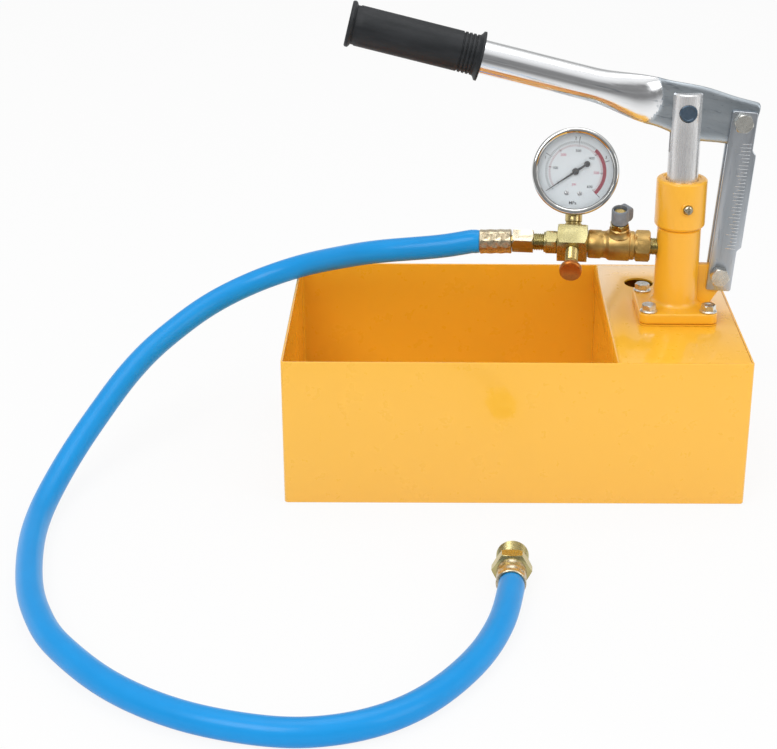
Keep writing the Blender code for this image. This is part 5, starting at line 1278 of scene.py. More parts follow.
@dataclass
class Pump:
    """Pump body, gland cap, their screws, the plunger and its pin.

    Heights are from the deck, the bolts' from the flange's top, the pin's from the pump's mid plane, and the
    boss's and the side screw's out from the pump's axis.
    """

    flange_half: float = 0.0295
    flange_corner: float = 0.006
    flange_edge: float = 0.0014
    barrel_foot: Profile = ((0, 0.0055), (0.02075, 0.0055))
    barrel: Profile = ((0.0165, 0.0687), (0.0157, 0.0695), (0.0150, 0.0695), (0.0150, 0.0940), (0, 0.0940))
    root: float = 0.0040
    chamber: Rod = (0.0124, 0.014, 0.098)
    outlet: Rod = (0.0068, 0.006, 0.02)
    lug_half: float = 0.0032
    lug_radius: float = 0.0088
    lug_rise: float = 0.0072
    lug_inset: float = 0.003
    lug_edge: float = 0.0009
    lug_hole: float = 0.0042
    cap_low: Profile = ((0.0153, 0.0698), (0.0161, 0.0698))
    cap_foot_curve: Curve = (0.0165, 0.0732, 0.0025)
    cap_rim_curve: Curve = (0.0170, 0.1055, 0.0020)
    cap_high: Profile = ((0.0149, 0.1075), (0.0141, 0.1068), (0.0125, 0.1068), (0.0119, 0.1062),
                         (0.0119, 0.1005), (0.0153, 0.1005))
    boss: Profile = ((0, 0.016), (0.0049, 0.016), (0.0049, 0.0195), (0.0045, 0.0199), (0.0038, 0.0199),
                     (0.0034, 0.0193), (0, 0.0193))
    boss_hole: Rod = (0.0028, 0.006, 0.023)
    screw_height: float = 0.0885
    screw_turn: float = math.radians(8)
    screw: Profile = ((0, 0.0136), (0.0025, 0.0136), (0.0025, 0.0202), (0.0034, 0.0202), (0.0036, 0.0208))
    screw_dome: Curve = (0.0016, 0.0206, 0.0018)
    screw_top: float = 0.0220
    screw_slot: tuple[float, ...] = (0.005, 0.00045, 0.0211, 0.0262)  # half length, half width, bottom and top
    plunger: Profile = ((0, 0.0400), (0.0108, 0.0400), (0.0116, 0.0408), (0.0116, 0.1361), (0.0115, 0.1366),
                        (0.0115, 0.1718), (0.0105, 0.1728), (0, 0.1728))
    fork_slot: Triple = (0.02, 0.1280, 0.2)  # reach to each side, bottom and top
    slot_half: float = 0.0035
    pin: float = 0.0065
    shank: float = 0.0050
    cheek: float = 0.02
    pin_profile: Profile = ((0, -0.0116), (0.0046, -0.0116), (0.0050, -0.0112), (0.0050, 0.0035),
                            (0.0065, 0.0035), (0.0065, 0.0111), (0.0060, 0.0116), (0.0048, 0.0116),
                            (0.0045, 0.0113), (0, 0.0113))
    bolt: Profile = ((0, -0.0235), (0.0030, -0.0235), (0.0030, 0), (0.0066, 0), (0.0066, 0.0006),
                     (0.0060, 0.0011), (0.0047, 0.0016), (0, 0.0016))
    bolt_head: Hexagon = (0.0100, 0.0008, 0.0054)
    bolt_dish: Profile = ((0, 0.0049), (0.0028, 0.0052), (0.0034, 0.0058), (0, 0.0058))
    bolt_turn_deg: float = 15

    def build(self) -> None:
        """Make the pump's pieces."""
        self.body()
        self.gland()
        self.side_screw()
        self.rod()
        self.lever_pin()
        self.flange_bolts()
        SEAL.repaint("gland_seal")
        ZINC_BOLT.repaint(*("flange_nut_" + str(i) for i in (1, 2, 3, 4)))

    def body(self) -> None:
        """Cast body: flange with soft edges, cylinder with a fillet at its foot, neck and lug."""
        top, foot = HERE.flange_top, self.barrel_foot[-1][0]
        outline = round_rectangle(self.flange_half, self.flange_half, self.flange_corner)
        piece = soften(extrude(outline, HERE.flange_low, top, "pump_casting"), self.flange_edge, 4)
        fillet = arc((foot, top + self.root), self.root, 270, 180)
        work(piece, Solid.JOIN, lathe([*self.barrel_foot, *fillet, *self.barrel]))
        lug_x, lug_z = HERE.link_foot
        rise = math.degrees(math.asin(self.lug_rise / self.lug_radius))
        reach = self.flange_half - self.lug_inset
        outline = [(0, top - self.lug_inset), (reach, top - self.lug_inset), (reach, top)]
        outline += arc((lug_x, lug_z), self.lug_radius, -35, rise, 14) + [(0, lug_z + self.lug_rise)]
        lug = settle(extrude(outline, -self.lug_half, self.lug_half), FACE_ON)
        work(piece, Solid.JOIN, soften(lug, self.lug_edge, 3))
        drill(piece, *self.chamber)
        drill(piece, self.lug_hole, -OVER * 2, OVER * 2, (lug_x, 0, lug_z), FRONT)
        for x, y in HERE.bolt_corners:
            drill(piece, HERE.bolt_hole, 0, top + OVER, (x, y, 0))
        settle(piece, Matrix.Translation(HERE.foot))
        drill(piece, *self.outlet, HERE.on_manifold(0), HERE.along)
        CAST_PAINT.dress(piece, ["pump_body"])

    def gland(self) -> None:
        """Gland cap with a turned-in foot, a soft rim and a boss for its screw."""
        profile = list(self.cap_low)
        for (x, z, radius), start, end in ((self.cap_foot_curve, -58, 0), (self.cap_rim_curve, 0, 90)):
            profile += arc((x, z), radius, start, end, 6)
        piece = lathe([*profile, *self.cap_high], "gland_cap_cast", ROUND, True)
        centre = (0, 0, self.screw_height)
        boss = settle(lathe(self.boss, segments=SMALL_ROUND), stand(centre, self.screw_way(), UP))
        work(piece, Solid.JOIN, boss)
        drill(piece, *self.boss_hole, centre, self.screw_way())
        CAST_PAINT.dress(piece, ["gland_cap"], Matrix.Translation(HERE.foot))

    def screw_way(self) -> Vector:
        """Way that the side screw points."""
        return Vector((math.sin(self.screw_turn), -math.cos(self.screw_turn), 0))

    def side_screw(self) -> None:
        """Brass screw with a domed, slotted head in the gland cap's boss."""
        x, z, radius = self.screw_dome
        profile = [*self.screw, *arc((x, z), radius, 0, 80, 5), (0, self.screw_top)]
        piece = lathe(profile, "side_screw_turned", SMALL_ROUND)
        reach, half, low, high = self.screw_slot
        work(piece, Solid.CUT, extrude(oblong(-reach, reach, -half, half), low, high))
        place = stand(HERE.foot + UP * self.screw_height, self.screw_way(), UP)
        NUT_BRASS.grained(piece, "gland_side_screw", place, "screw")

    def rod(self) -> None:
        """Ground plunger with its fork."""
        piece = lathe(self.plunger, "plunger_ground")
        reach, low, high = self.fork_slot
        slot = extrude(oblong(-reach, reach, low, high), -self.slot_half, self.slot_half)
        work(piece, Solid.CUT, settle(slot, FACE_ON))
        centre = (0, 0, HERE.pin_height)
        drill(piece, self.pin + FIT, 0, self.cheek, centre, FRONT)
        drill(piece, self.shank + FIT, -self.cheek, OVER, centre, FRONT)
        STEEL.grained(piece, "plunger_rod", Matrix.Translation(HERE.foot), "upright", "plunger")

    def lever_pin(self) -> None:
        """Blued pin, flush with the fork's front."""
        place = stand(HERE.beside(0, HERE.pin_height), FRONT, RIGHT)
        piece = lathe(self.pin_profile, "lever_pin_turned", SMALL_ROUND)
        DARK_STEEL.grained(piece, "lever_pin", place, body="plunger")

    def flange_bolts(self) -> None:
        """Four flanged hexagon bolts, one mesh repeated round the flange."""
        piece = lathe(self.bolt, "flange_bolts_plated", SMALL_ROUND)
        work(piece, Solid.JOIN, hexagon(*self.bolt_head, face_deg=self.bolt_turn_deg, low_end=False))
        work(piece, Solid.CUT, lathe(self.bolt_dish, segments=SMALL_ROUND))
        radius = HERE.bolt_square / math.sqrt(2)
        Repeat.ON_ARC.apply(piece, ZINC_BOLT, Count=4, Radius=radius, First_Turn=math.pi / 4,
                            Turn=math.pi / 2)
        place = Matrix.Translation(HERE.foot + UP * (HERE.flange_top + GAP))
        ZINC_BOLT.dress(piece, ["flange_bolt_" + str(i) for i in (1, 2, 3, 4)], place)


# Link


@dataclass
class Link:
    """Folded channel link, its press marks, bolts and nuts."""

    width: float = 0.0190
    sheet: float = 0.0033
    inside_half: float = 0.0035
    offset: float = 0.0012
    corner: float = 0.0016
    edge: float = 0.0007
    top_margin: float = 0.0075
    foot_margin: float = 0.0125
    proud: float = 0.0030
    web_low: float = 0.0200
    web_high: float = 0.0980
    mark_count: int = 31
    mark_length: float = 0.0070
    mark_half: float = 0.00036
    mark_depth: float = 0.0006
    mark_rise: float = 0.00034
    mark_edge: float = 0.00016
    mark_start: float = 0.002
    mark_past: float = 0.006
    mark_spread: Point = (0.62, 1.25)  # least and most, as shares of the length
    mark_seed: int = 7
    bolt: float = 0.0040
    bolt_end: Point = (0.0085, 0.0006)  # reach past the cheek, chamfer
    washer: Point = (0.94, 0.0006)  # share of the head's width, thickness
    across: float = 0.0130
    head: float = 0.0070
    head_chamfer: float = 0.0013
    head_turn_deg: float = 20
    nut: float = 0.0065
    nut_chamfer: float = 0.0012

    def build(self) -> None:
        """Make the link's pieces."""
        self.channel()
        self.marks()
        for name, point in (("foot", HERE.link_foot), ("top", HERE.link_top)):
            self.bolt_set(name, stand(HERE.beside(*point), FRONT, RIGHT))

    def place(self) -> Matrix:
        """Frame at the foot bolt.

        Returns:
            The frame: +X across the link, +Y up along it, +Z to the front.
        """
        foot, top = HERE.beside(*HERE.link_foot), HERE.beside(*HERE.link_top)
        up = (top - foot).normalized()
        return stand(foot, FRONT, Vector((up.z, 0, -up.x)))

    def channel(self) -> None:
        """Two cheeks joined by a web that is pressed a little proud of their edge."""
        left, right = self.offset - self.width / 2, self.offset + self.width / 2
        length = (Vector(HERE.link_top) - Vector(HERE.link_foot)).length
        low, high = -self.foot_margin, length + self.top_margin
        start, end, proud, r = self.web_low, self.web_high, self.proud, self.corner
        bulge = right + proud
        outline = arc((left + r, low + r), r, 180, 270, 4) + arc((right - r, low + r), r, 270, 360, 4)
        outline += [(right, start), (bulge, start + proud), (bulge, end - proud), (right, end)]
        outline += arc((right - r, high - r), r, 0, 90, 4) + arc((left + r, high - r), r, 90, 180, 4)
        outer = self.inside_half + self.sheet
        piece = extrude(outline, -outer, outer, "link_folded")
        inner, far = bulge - self.sheet, bulge + OVER
        trough = [(left - OVER, low - OVER), (far, low - OVER), (far, start + proud),
                  (inner, start + proud * 2), (inner, end - proud * 2), (far, end - proud),
                  (far, high + OVER), (left - OVER, high + OVER)]
        work(piece, Solid.CUT, extrude(trough, -self.inside_half, self.inside_half))
        soften(piece, self.edge, 3)
        for height in (0, length):
            drill(piece, self.bolt + FIT, -THROUGH, THROUGH, (0, height, 0))
        place = self.place()
        grain = place @ Matrix.Rotation(math.radians(90), 4, "X")
        ZINC.dress(piece, ["link_channel"], place, "link", "link", grain)

    def marks(self) -> None:
        """Fine raised lines that the folding press left across the front cheek."""
        outline = oblong(-self.mark_length, 0, -self.mark_half, self.mark_half)
        piece = soften(extrude(outline, -self.mark_depth, self.mark_rise, "link_press_marks"), self.mark_edge)
        start = (self.offset + self.width / 2 - self.corner, self.web_low + self.mark_start,
                 self.inside_half + self.sheet)
        pitch = (self.web_high + self.mark_past - self.web_low) / self.mark_count
        least, most = self.mark_spread
        Repeat.ON_LINE.apply(piece, PRESS_MARK, Count=self.mark_count, Seed=self.mark_seed,
                             Least_Length=least, Most_Length=most, Start=start, Step=(0, pitch, 0))
        PRESS_MARK.dress(piece, place=self.place(), body="link")

    def bolt_set(self, name: str, place: Matrix) -> None:
        """Hexagon bolt through both cheeks, and its nut at the back.

        Args:
            name: Which end of the link.
            place: Frame in the mid plane, +Z to the front.
        """
        outer = self.inside_half + self.sheet + GAP
        stem = "link_" + name
        bolt = hexagon(self.across, outer, outer + self.head, stem + "_bolt_plated", self.head_chamfer,
                       self.head_turn_deg, False)
        end, point = self.bolt_end
        share, thick = self.washer
        washer = self.across / 2 * share
        shank = [(0, -outer - end), (self.bolt - point, -outer - end), (self.bolt, -outer - end + point),
                 (self.bolt, outer), (washer, outer), (washer, outer + thick), (0, outer + thick)]
        work(bolt, Solid.JOIN, lathe(shank, segments=SMALL_ROUND))
        nut = hexagon(self.across, -outer - self.nut, -outer, stem + "_nut_plated", self.nut_chamfer)
        drill(nut, self.bolt + FIT, -THROUGH, 0)
        for piece, node in ((bolt, "_bolt"), (nut, "_nut")):
            ZINC_BOLT.dress(piece, [stem + node], place, "link", "link")


# Lever


@dataclass
class Lever:
    """Lever tube with its pressed end, and the rubber grip.

    Distances run out from the plunger's pin along the tube; each run of stations is start, step and count.
    """

    above_pin: float = 0.0016
    tube: float = 0.0125
    tall: float = 0.0177
    fold_bulge: float = 0.0086
    blade: float = 0.0032
    drop: float = 0.0009
    tip: float = 0.0518
    tip_round: float = 0.0030
    tip_stations: tuple[float, ...] = (0, 0.0003, 0.0009, 0.0018, 0.0030)
    stations: tuple[tuple[float, float, int], ...] = (
        (-0.035, 0.006, 8), (0.0125, 0.0012, 26), (0.0450, 0.0035, 9), (0.0800, 0.0400, 4))
    length: float = 0.2510
    belly_at: float = -0.0080
    belly_reach: float = 0.0300
    belly_low: float = 0.0036
    belly_high: float = 0.0016
    blade_end: float = 0.0265
    fold: float = 0.0470
    crease_edge: float = 0.0275
    crease_reach: float = 0.0085
    crease_past: float = 0.0012
    ramp: float = 0.48
    blend: float = 0.0040
    ring: int = 96
    slot_half: float = 0.00225
    slot_radius: float = 0.0055
    slot_shift: Point = (-0.00017, 0.00213)  # up and out from the pin
    bolt_hole: float = 0.0042
    cut_reach: float = 0.01
    grip: float = 0.01475
    grip_length: float = 0.0985
    grip_wall: float = 0.0035
    grip_flange: Profile = ((0.0180, 0), (0.0178, 0.0016), (0.0156, 0.0030))
    grip_ring: Profile = ((0, 0.0040), (0, 0.0056), (0.0009, 0.0059), (0.0009, 0.0067))
    grip_ring_pitch: float = 0.0030
    grip_body: Point = (0.0160, 0.0070)  # distance of its ends from the grip's
    grip_end: Profile = ((0.01415, 0.0062), (0.01415, 0.0044), (0.0160, 0.0034), (0.01675, 0.0024),
                         (0.01660, 0.0007), (0.0158, 0), (0.0120, 0.0006), (0, 0.0008))
    grip_round: int = 120
    facets: int = 10
    facet_depth: float = 0.012

    def build(self) -> None:
        """Make the lever and its grip."""
        self.bar()
        self.rubber()

    def place(self) -> Matrix:
        """Frame on the tube's axis above the pin.

        Returns:
            The frame: +Z out to the grip, +Y up, +X to the back.
        """
        out = Vector((-math.cos(HERE.lever_slope), 0, math.sin(HERE.lever_slope)))
        up = Vector((math.sin(HERE.lever_slope), 0, math.cos(HERE.lever_slope)))
        return stand(HERE.beside(0, HERE.pin_height) + up * self.above_pin, out, up.cross(out))

    def section(self, distance: float) -> Triple:
        """Cross-section before the press.

        Args:
            distance: Distance out from the pin.

        Returns:
            Half height, half thickness and drop of the section.
        """
        share, near = (min(max(s, 0.0), 1.0) for s in (
            (distance - self.blade_end) / self.fold, 1 - abs(distance - self.belly_at) / self.belly_reach))
        ease, belly = (s * s * (3 - 2 * s) for s in (share, near))
        tall = self.tall + (self.tube - self.tall) * ease + (self.belly_low + self.belly_high) / 2 * belly
        thick = self.fold_bulge + (self.tube - self.fold_bulge) * ease
        into = max(0.0, self.tip_round - (distance + self.tip))
        tall -= self.tip_round - math.sqrt(max(0.0, self.tip_round ** 2 - into ** 2))
        return tall, thick, self.drop * (1 - ease) + (self.belly_low - self.belly_high) / 2 * belly

    def crease(self, height: float) -> float:
        """Distance from the pin at which the crease between blade and tube starts, bowed at mid height."""
        return self.crease_edge - self.crease_reach * max(0.0, 1 - (height / self.tall) ** 2)

    def pressed(self, distance: float, height: float, thick: float) -> float:
        """Half thickness after the press, which leaves a bowed crease between blade and tube.

        Args:
            distance: Distance out from the pin.
            height: Height above the section's middle.
            thick: Half thickness before the press.

        Returns:
            Half thickness, with the sign of the first.
        """
        limit = self.blade + self.ramp * max(0.0, distance - self.crease(height))
        share = min(max(0.5 + 0.5 * (limit - abs(thick)) / self.blend, 0.0), 1.0)
        low = abs(thick) * share + limit * (1 - share) - self.blend * share * (1 - share)
        return math.copysign(min(low, abs(thick)), thick)

    def bar(self) -> None:
        """Loft the pressed tube, cut its slot and bolt hole, and give the blade a rougher, darker zinc, the
        darkness painted shade.
        """
        distances = [s - self.tip for s in self.tip_stations]
        distances += [start + step * i for start, step, count in self.stations for i in range(count)]
        rows = []
        for distance in [*distances, self.length]:
            tall, thick, drop = self.section(distance)
            row = []
            for i in range(self.ring):
                angle = 2 * math.pi * (i + 0.5) / self.ring
                height = tall * math.sin(angle)
                x = self.pressed(distance, height, thick * math.cos(angle))
                row.append(Vector((x, height - drop, distance)))
            rows.append(row)
        piece = skin(rows, "lever_pressed")
        place = self.place()
        pin = place.inverted() @ HERE.beside(0, HERE.pin_height)
        bolt = place.inverted() @ HERE.beside(*HERE.link_top)
        half, radius, reach = self.slot_half, self.slot_radius, self.cut_reach
        outline = arc((-half, 0), radius, 90, 270, 16) + arc((half, 0), radius, -90, 90, 16)
        slot = extrude(outline, -reach, reach)
        shift_y, shift_z = self.slot_shift
        settle(slot, stand((0, pin.y + shift_y, pin.z + shift_z), RIGHT, UP))
        work(piece, Solid.CUT, slot)
        drill(piece, self.bolt_hole, -reach, reach, (0, bolt.y, bolt.z), RIGHT)
        # Faces of the pressed blade, which get the darker zinc as painted shade.
        flat = [polygon.index for polygon in piece.data.polygons
                if polygon.center.z < self.crease(polygon.center.y) + self.crease_past]
        ZINC_TUBE.grained(piece, "lever_bar", place, "lever", "lever")
        piece.data.materials.append(SHADED_BLADE_ZINC.material(place, "lever"))
        for index in flat:
            piece.data.polygons[index].material_index = 1

    def rubber(self) -> None:
        """Grip with a thin flange at each end, fine rings and faint lengthwise facets."""
        floor = self.length + GAP
        end = floor + self.grip_wall
        start = end - self.grip_length
        profile = [(0, floor), (self.tube + GAP, floor), (self.tube + GAP, start)]
        profile += [(radius, start + h) for radius, h in self.grip_flange]
        profile += [(self.grip - sunk, start + h + self.grip_ring_pitch * i) for i in range(4)
                    for sunk, h in self.grip_ring]
        first, last = start + self.grip_body[0], end - self.grip_body[1]
        profile += [(self.grip, first + (last - first) * i / 16) for i in range(17)]
        profile += [(radius, end - h) for radius, h in self.grip_end]

        def facet(radius: float, turn: float, height: float) -> float:
            """Radius with shallow finger facets along the body."""
            depth = self.facet_depth if radius == self.grip and height >= first else 0
            return radius * (1 - depth * (0.5 + 0.5 * math.cos(self.facets * turn)) ** 3)

        piece = lathe(profile, "grip_moulded", self.grip_round, False, facet)
        RUBBER.grained(piece, "grip", self.place(), "grip", "lever")


# Ball valve


@dataclass
class BallValve:
    """Nipple, cast valve body with its end cap, gland nut and one-sided handle.

    Profiles run along the manifold from the pump's axis, the bonnet's and the handle's out along the stem.
    """

    nipple: Rod = (0.0065, 0.0134, 0.0279)
    nipple_bore: float = 0.0026
    nipple_point: Point = (0.0006, 0.0004)  # depth and length
    nipple_thread: Point = (0.0011, 0.0005)  # pitch and depth
    cap: Hexagon = (0.0208, 0.0210, 0.0325)
    cap_chamfer: float = 0.0012
    cap_turn_deg: float = 20
    cap_collar: Profile = ((0, 0.0305), (0.0108, 0.0305), (0.0108, 0.0325), (0.0088, 0.0325),
                           (0.0088, 0.0376), (0, 0.0376))
    cap_bore: Profile = ((0, 0.0170), (0.0069, 0.0170), (0.0069, 0.0283), (0.0035, 0.0283), (0.0035, 0.0420),
                         (0, 0.0420))
    casting: Profile = (
        (0.0092, 0.0328), (0.0104, 0.0328), (0.0110, 0.0338), (0.0110, 0.0362), (0.0118, 0.0368),
        (0.0120, 0.0380), (0.0120, 0.0515), (0.0116, 0.0527), (0.0106, 0.0541), (0.0103, 0.0555),
        (0.0103, 0.0577), (0.0109, 0.0585), (0.0109, 0.0668), (0.0100, 0.0682), (0.0068, 0.0682),
        (0.0068, 0.0587), (0.0035, 0.0587), (0.0035, 0.0526), (0.0092, 0.0526))
    centre: float = 0.0448
    bonnet: Profile = ((0, 0.0105), (0.0091, 0.0105), (0.0079, 0.0122), (0.0075, 0.0135), (0.0075, 0.0152),
                       (0.0067, 0.0160), (0, 0.0160))
    stem: float = 0.0030
    tilt_deg: float = 75
    rest_deg: float = 45
    gland_nut: Hexagon = (0.0130, 0.0163, 0.0201)
    gland_chamfer: float = 0.0010
    gland_turn_deg: float = 10
    hub: Profile = ((0, 0.0205), (0.0061, 0.0205), (0.0065, 0.0210), (0.0065, 0.0311), (0.0061, 0.0320),
                    (0.0057, 0.0323), (0, 0.0323))
    wing: tuple[float, ...] = (0.0100, 0.0205, 0.0323, 0.0095)  # reach, bottom, top and thickness
    wing_corner: float = 0.0033
    wing_edge: float = 0.0014
    pocket: Rod = (0.0052, 0.0264, 0.0363)
    handle_nut: Hexagon = (0.0080, 0.0267, 0.0301)

    def build(self) -> None:
        """Make the valve's pieces."""
        self.feed_nipple()
        self.end_cap()
        self.body()
        self.gland()
        self.handle()
        SEAL.repaint("valve_seat_inlet", "valve_seat_outlet")
        CHROME.repaint("valve_ball")
        BRASS.repaint("valve_stem")

    def stem_place(self, side: Vector) -> Matrix:
        """Frame at the ball's centre, +Z out along the stem and +X to a side."""
        return stand(HERE.on_manifold(self.centre), HERE.round_manifold(self.tilt_deg), side)

    def feed_nipple(self) -> None:
        """Threaded nipple between cylinder and valve."""
        radius, low, high = self.nipple
        sunk, point = self.nipple_point
        thread = ringed(radius, low + point, high - point, *self.nipple_thread)
        profile = [(self.nipple_bore, low), (radius - sunk, low), *thread, (radius - sunk, high),
                   (self.nipple_bore, high)]
        piece = lathe(profile, "outlet_nipple_threaded", ROUND, True)
        PALE_BRASS.grained(piece, "outlet_nipple", HERE.manifold, "manifold")

    def end_cap(self) -> None:
        """Hexagon end cap at the pump's side."""
        piece = hexagon(*self.cap, "valve_cap_cast", self.cap_chamfer, self.cap_turn_deg)
        work(piece, Solid.JOIN, lathe(self.cap_collar))
        work(piece, Solid.CUT, lathe(self.cap_bore, segments=SMALL_ROUND))
        CAST_BRASS.grained(piece, "valve_end_cap", HERE.manifold, "manifold")

    def body(self) -> None:
        """Cast body with turned bands and the tilted bonnet of the stem."""
        piece = lathe(self.casting, "valve_body_cast", ROUND, True)
        local = HERE.manifold.inverted()
        centre = local @ HERE.on_manifold(self.centre)
        aim = local.to_3x3() @ HERE.round_manifold(self.tilt_deg)
        work(piece, Solid.JOIN, settle(lathe(self.bonnet, segments=SMALL_ROUND), stand(centre, aim, UP)))
        drill(piece, self.stem + FIT, 0, self.bonnet[-1][1] + OVER, centre, aim)
        CAST_BRASS.grained(piece, "valve_body", HERE.manifold, "manifold")

    def gland(self) -> None:
        """Hexagon gland nut under the handle."""
        piece = hexagon(*self.gland_nut, "valve_gland_turned", self.gland_chamfer, self.gland_turn_deg, False)
        drill(piece, self.stem + FIT, 0, THROUGH)
        BRASS.grained(piece, "valve_gland_nut", self.stem_place(HERE.along), "gland")

    def handle(self) -> None:
        """Moulded handle with one wing, and the nut that holds it."""
        turn = math.radians(self.rest_deg)
        way = HERE.round_manifold(self.tilt_deg)
        across = HERE.along * math.cos(turn) + way.cross(HERE.along) * math.sin(turn)
        piece = lathe(self.hub, "valve_handle_moulded", SMALL_ROUND)
        reach, low, top, thick = self.wing
        r = self.wing_corner
        outline = [(0.0, low), *arc((reach - r, low + r), r, 270, 360, 6),
                   *arc((reach - r, top - r), r, 0, 90, 6), (0.0, top - FIT)]
        wing = settle(extrude([(-x, y) for x, y in outline], -thick / 2, thick / 2), FACE_ON)
        work(piece, Solid.JOIN, soften(wing, self.wing_edge, 4))
        drill(piece, *self.pocket)
        nut = hexagon(*self.handle_nut, "valve_handle_nut_turned", low_end=False)
        for bored in (piece, nut):
            drill(bored, self.stem + FIT, 0, THROUGH)
        place = self.stem_place(across)
        GREY_COAT.dress(piece, ["valve_handle"], place, body="valve_core")
        BRASS.grained(nut, "valve_handle_nut", place, "handle", "valve_core")


# Tee, release screw, adapter and swivel nut


@dataclass
class Outlet:
    """Tee block, release screw, hose adapter and swivel nut.

    Profiles run along the manifold from the pump's axis, the release screw's out from the manifold.
    """

    face_deg: float = 50
    tee_hex: Hexagon = (0.0280, 0.0685, 0.0912)
    tee_chamfer: float = 0.0018
    stub: Profile = ((0, 0.0590), (0.0060, 0.0590), (0.0065, 0.0595), (0.0065, 0.0695), (0, 0.0695))
    collar: Profile = ((0, 0.0684), (0.0118, 0.0684), (0.0118, 0.0912), (0, 0.0912))
    tee_bore: Profile = ((0, 0.0952), (0.0068, 0.0952), (0.0068, 0.0847), (0.0047, 0.0847), (0.0047, 0.0700),
                         (0.0026, 0.0700), (0.0026, 0.0550), (0, 0.0550))
    release_deg: float = -10
    gauge_port: float = 0.0069
    release_port: float = 0.0052
    port: Point = (0.0070, 0.0200)  # start and end, from the manifold's axis
    release_point: Profile = ((0, 0.0074), (0.0025, 0.0074), (0.0044, 0.0104))
    release_thread: Thread = (0.0050, 0.0106, 0.0300, 0.0015, 0.0006)
    release_stem: Profile = ((0.0044, 0.0304), (0.0044, 0.0423), (0, 0.0423))
    knob: Profile = ((0, 0.0426), (0.0052, 0.0426), (0.0052, 0.0398), (0.0075, 0.0398), (0.0083, 0.0406),
                     (0.0083, 0.0430), (0.0073, 0.0440), (0.0066, 0.0439), (0.0061, 0.0436), (0, 0.0436))
    adapter_hex: Hexagon = (0.0170, 0.0915, 0.1000)
    adapter_chamfer: float = 0.0012
    adapter_hub: Profile = ((0, 0.0850), (0.0065, 0.0850), (0.0065, 0.0917), (0.0078, 0.0917),
                            (0.0078, 0.1014), (0.0060, 0.1022))
    adapter_thread: Thread = (0.0066, 0.1024, 0.117116, 0.0014, 0.0007)
    adapter_end: float = 0.0056
    nose: Rod = (0.0035, 0.0781, 0.0870)
    adapter_bore: Rod = (0.0026, 0.07, 0.13)
    nut_hex: Hexagon = (0.0170, 0.1095, 0.1253)
    nut_chamfer: float = 0.0014
    nut_bore: Profile = ((0, 0.1293), (0.0055, 0.1293), (0.0055, 0.1229), (0.0069, 0.1229), (0.0069, 0.1101),
                         (0.0075, 0.1093), (0, 0.1093))

    def build(self) -> None:
        """Make the outlet's pieces."""
        self.tee()
        self.release()
        self.adapter()
        self.swivel()
        STAINLESS.repaint("discharge_ball")
        BRASS.repaint("hose_tail")

    def in_line(self, sizes: Hexagon, name: str, chamfer: float) -> Thing:
        """Hexagon on the manifold, turned so that its flats line up with its neighbours'.

        Args:
            sizes: Width over flats, start and end.
            name: Name of the piece.
            chamfer: Depth of its chamfers.

        Returns:
            The piece, in the manifold's frame.
        """
        up = HERE.manifold.inverted().to_3x3() @ UP
        return hexagon(*sizes, name, chamfer, math.copysign(self.face_deg, up.y))

    def tee(self) -> None:
        """Hexagon block with turned ends, the stub into the valve and its three ports."""
        piece = self.in_line(self.tee_hex, "tee_hexagon", self.tee_chamfer)
        work(piece, Solid.JOIN, lathe(self.stub))
        work(piece, Solid.JOIN, lathe(self.collar))
        work(piece, Solid.CUT, lathe(self.tee_bore, segments=SMALL_ROUND))
        local = HERE.manifold.inverted().to_3x3()
        for tilt, radius in ((HERE.gauge_tilt_deg, self.gauge_port), (self.release_deg, self.release_port)):
            drill(piece, radius, *self.port, (0, 0, HERE.tee_centre), local @ HERE.round_manifold(tilt))
        PALE_BRASS.grained(piece, "tee_block", HERE.manifold, "manifold")

    def release(self) -> None:
        """Threaded release screw with its disc knob."""
        place = stand(HERE.on_manifold(HERE.tee_centre), HERE.round_manifold(self.release_deg), HERE.along)
        profile = [*self.release_point, *ringed(*self.release_thread), *self.release_stem]
        stem = lathe(profile, "release_stem_threaded")
        BRASS.grained(stem, "release_stem", place, "release", "release_screw")
        COPPER_AND_TANK_REFLECTION.grained(lathe(self.knob, "release_knob_turned"), "release_knob", place,
                            body="release_wheel")

    def adapter(self) -> None:
        """Hexagon adapter with a turned hub and a male thread."""
        piece = self.in_line(self.adapter_hex, "hose_adapter_turned", self.adapter_chamfer)
        end = HERE.hose_seat
        profile = [*self.adapter_hub, *ringed(*self.adapter_thread), (self.adapter_end, end), (0, end)]
        work(piece, Solid.JOIN, lathe(profile))
        work(piece, Solid.JOIN, bar(*self.nose))
        drill(piece, *self.adapter_bore)
        PALE_BRASS.grained(piece, "hose_adapter", HERE.manifold, "manifold")

    def swivel(self) -> None:
        """Hexagon swivel nut on the hose's tail."""
        piece = self.in_line(self.nut_hex, "swivel_nut_turned", self.nut_chamfer)
        work(piece, Solid.CUT, lathe(self.nut_bore, segments=SMALL_ROUND))
        NUT_BRASS.grained(piece, "hose_nut", HERE.manifold, body="swivel_nut")


# Gauge


@dataclass(frozen=True)
class TickRing:
    """One printed ring of ticks: where they start and end, how wide and how many they are."""

    name: str
    inner: float
    outer: float
    width: float
    count: int
    ink: Finish


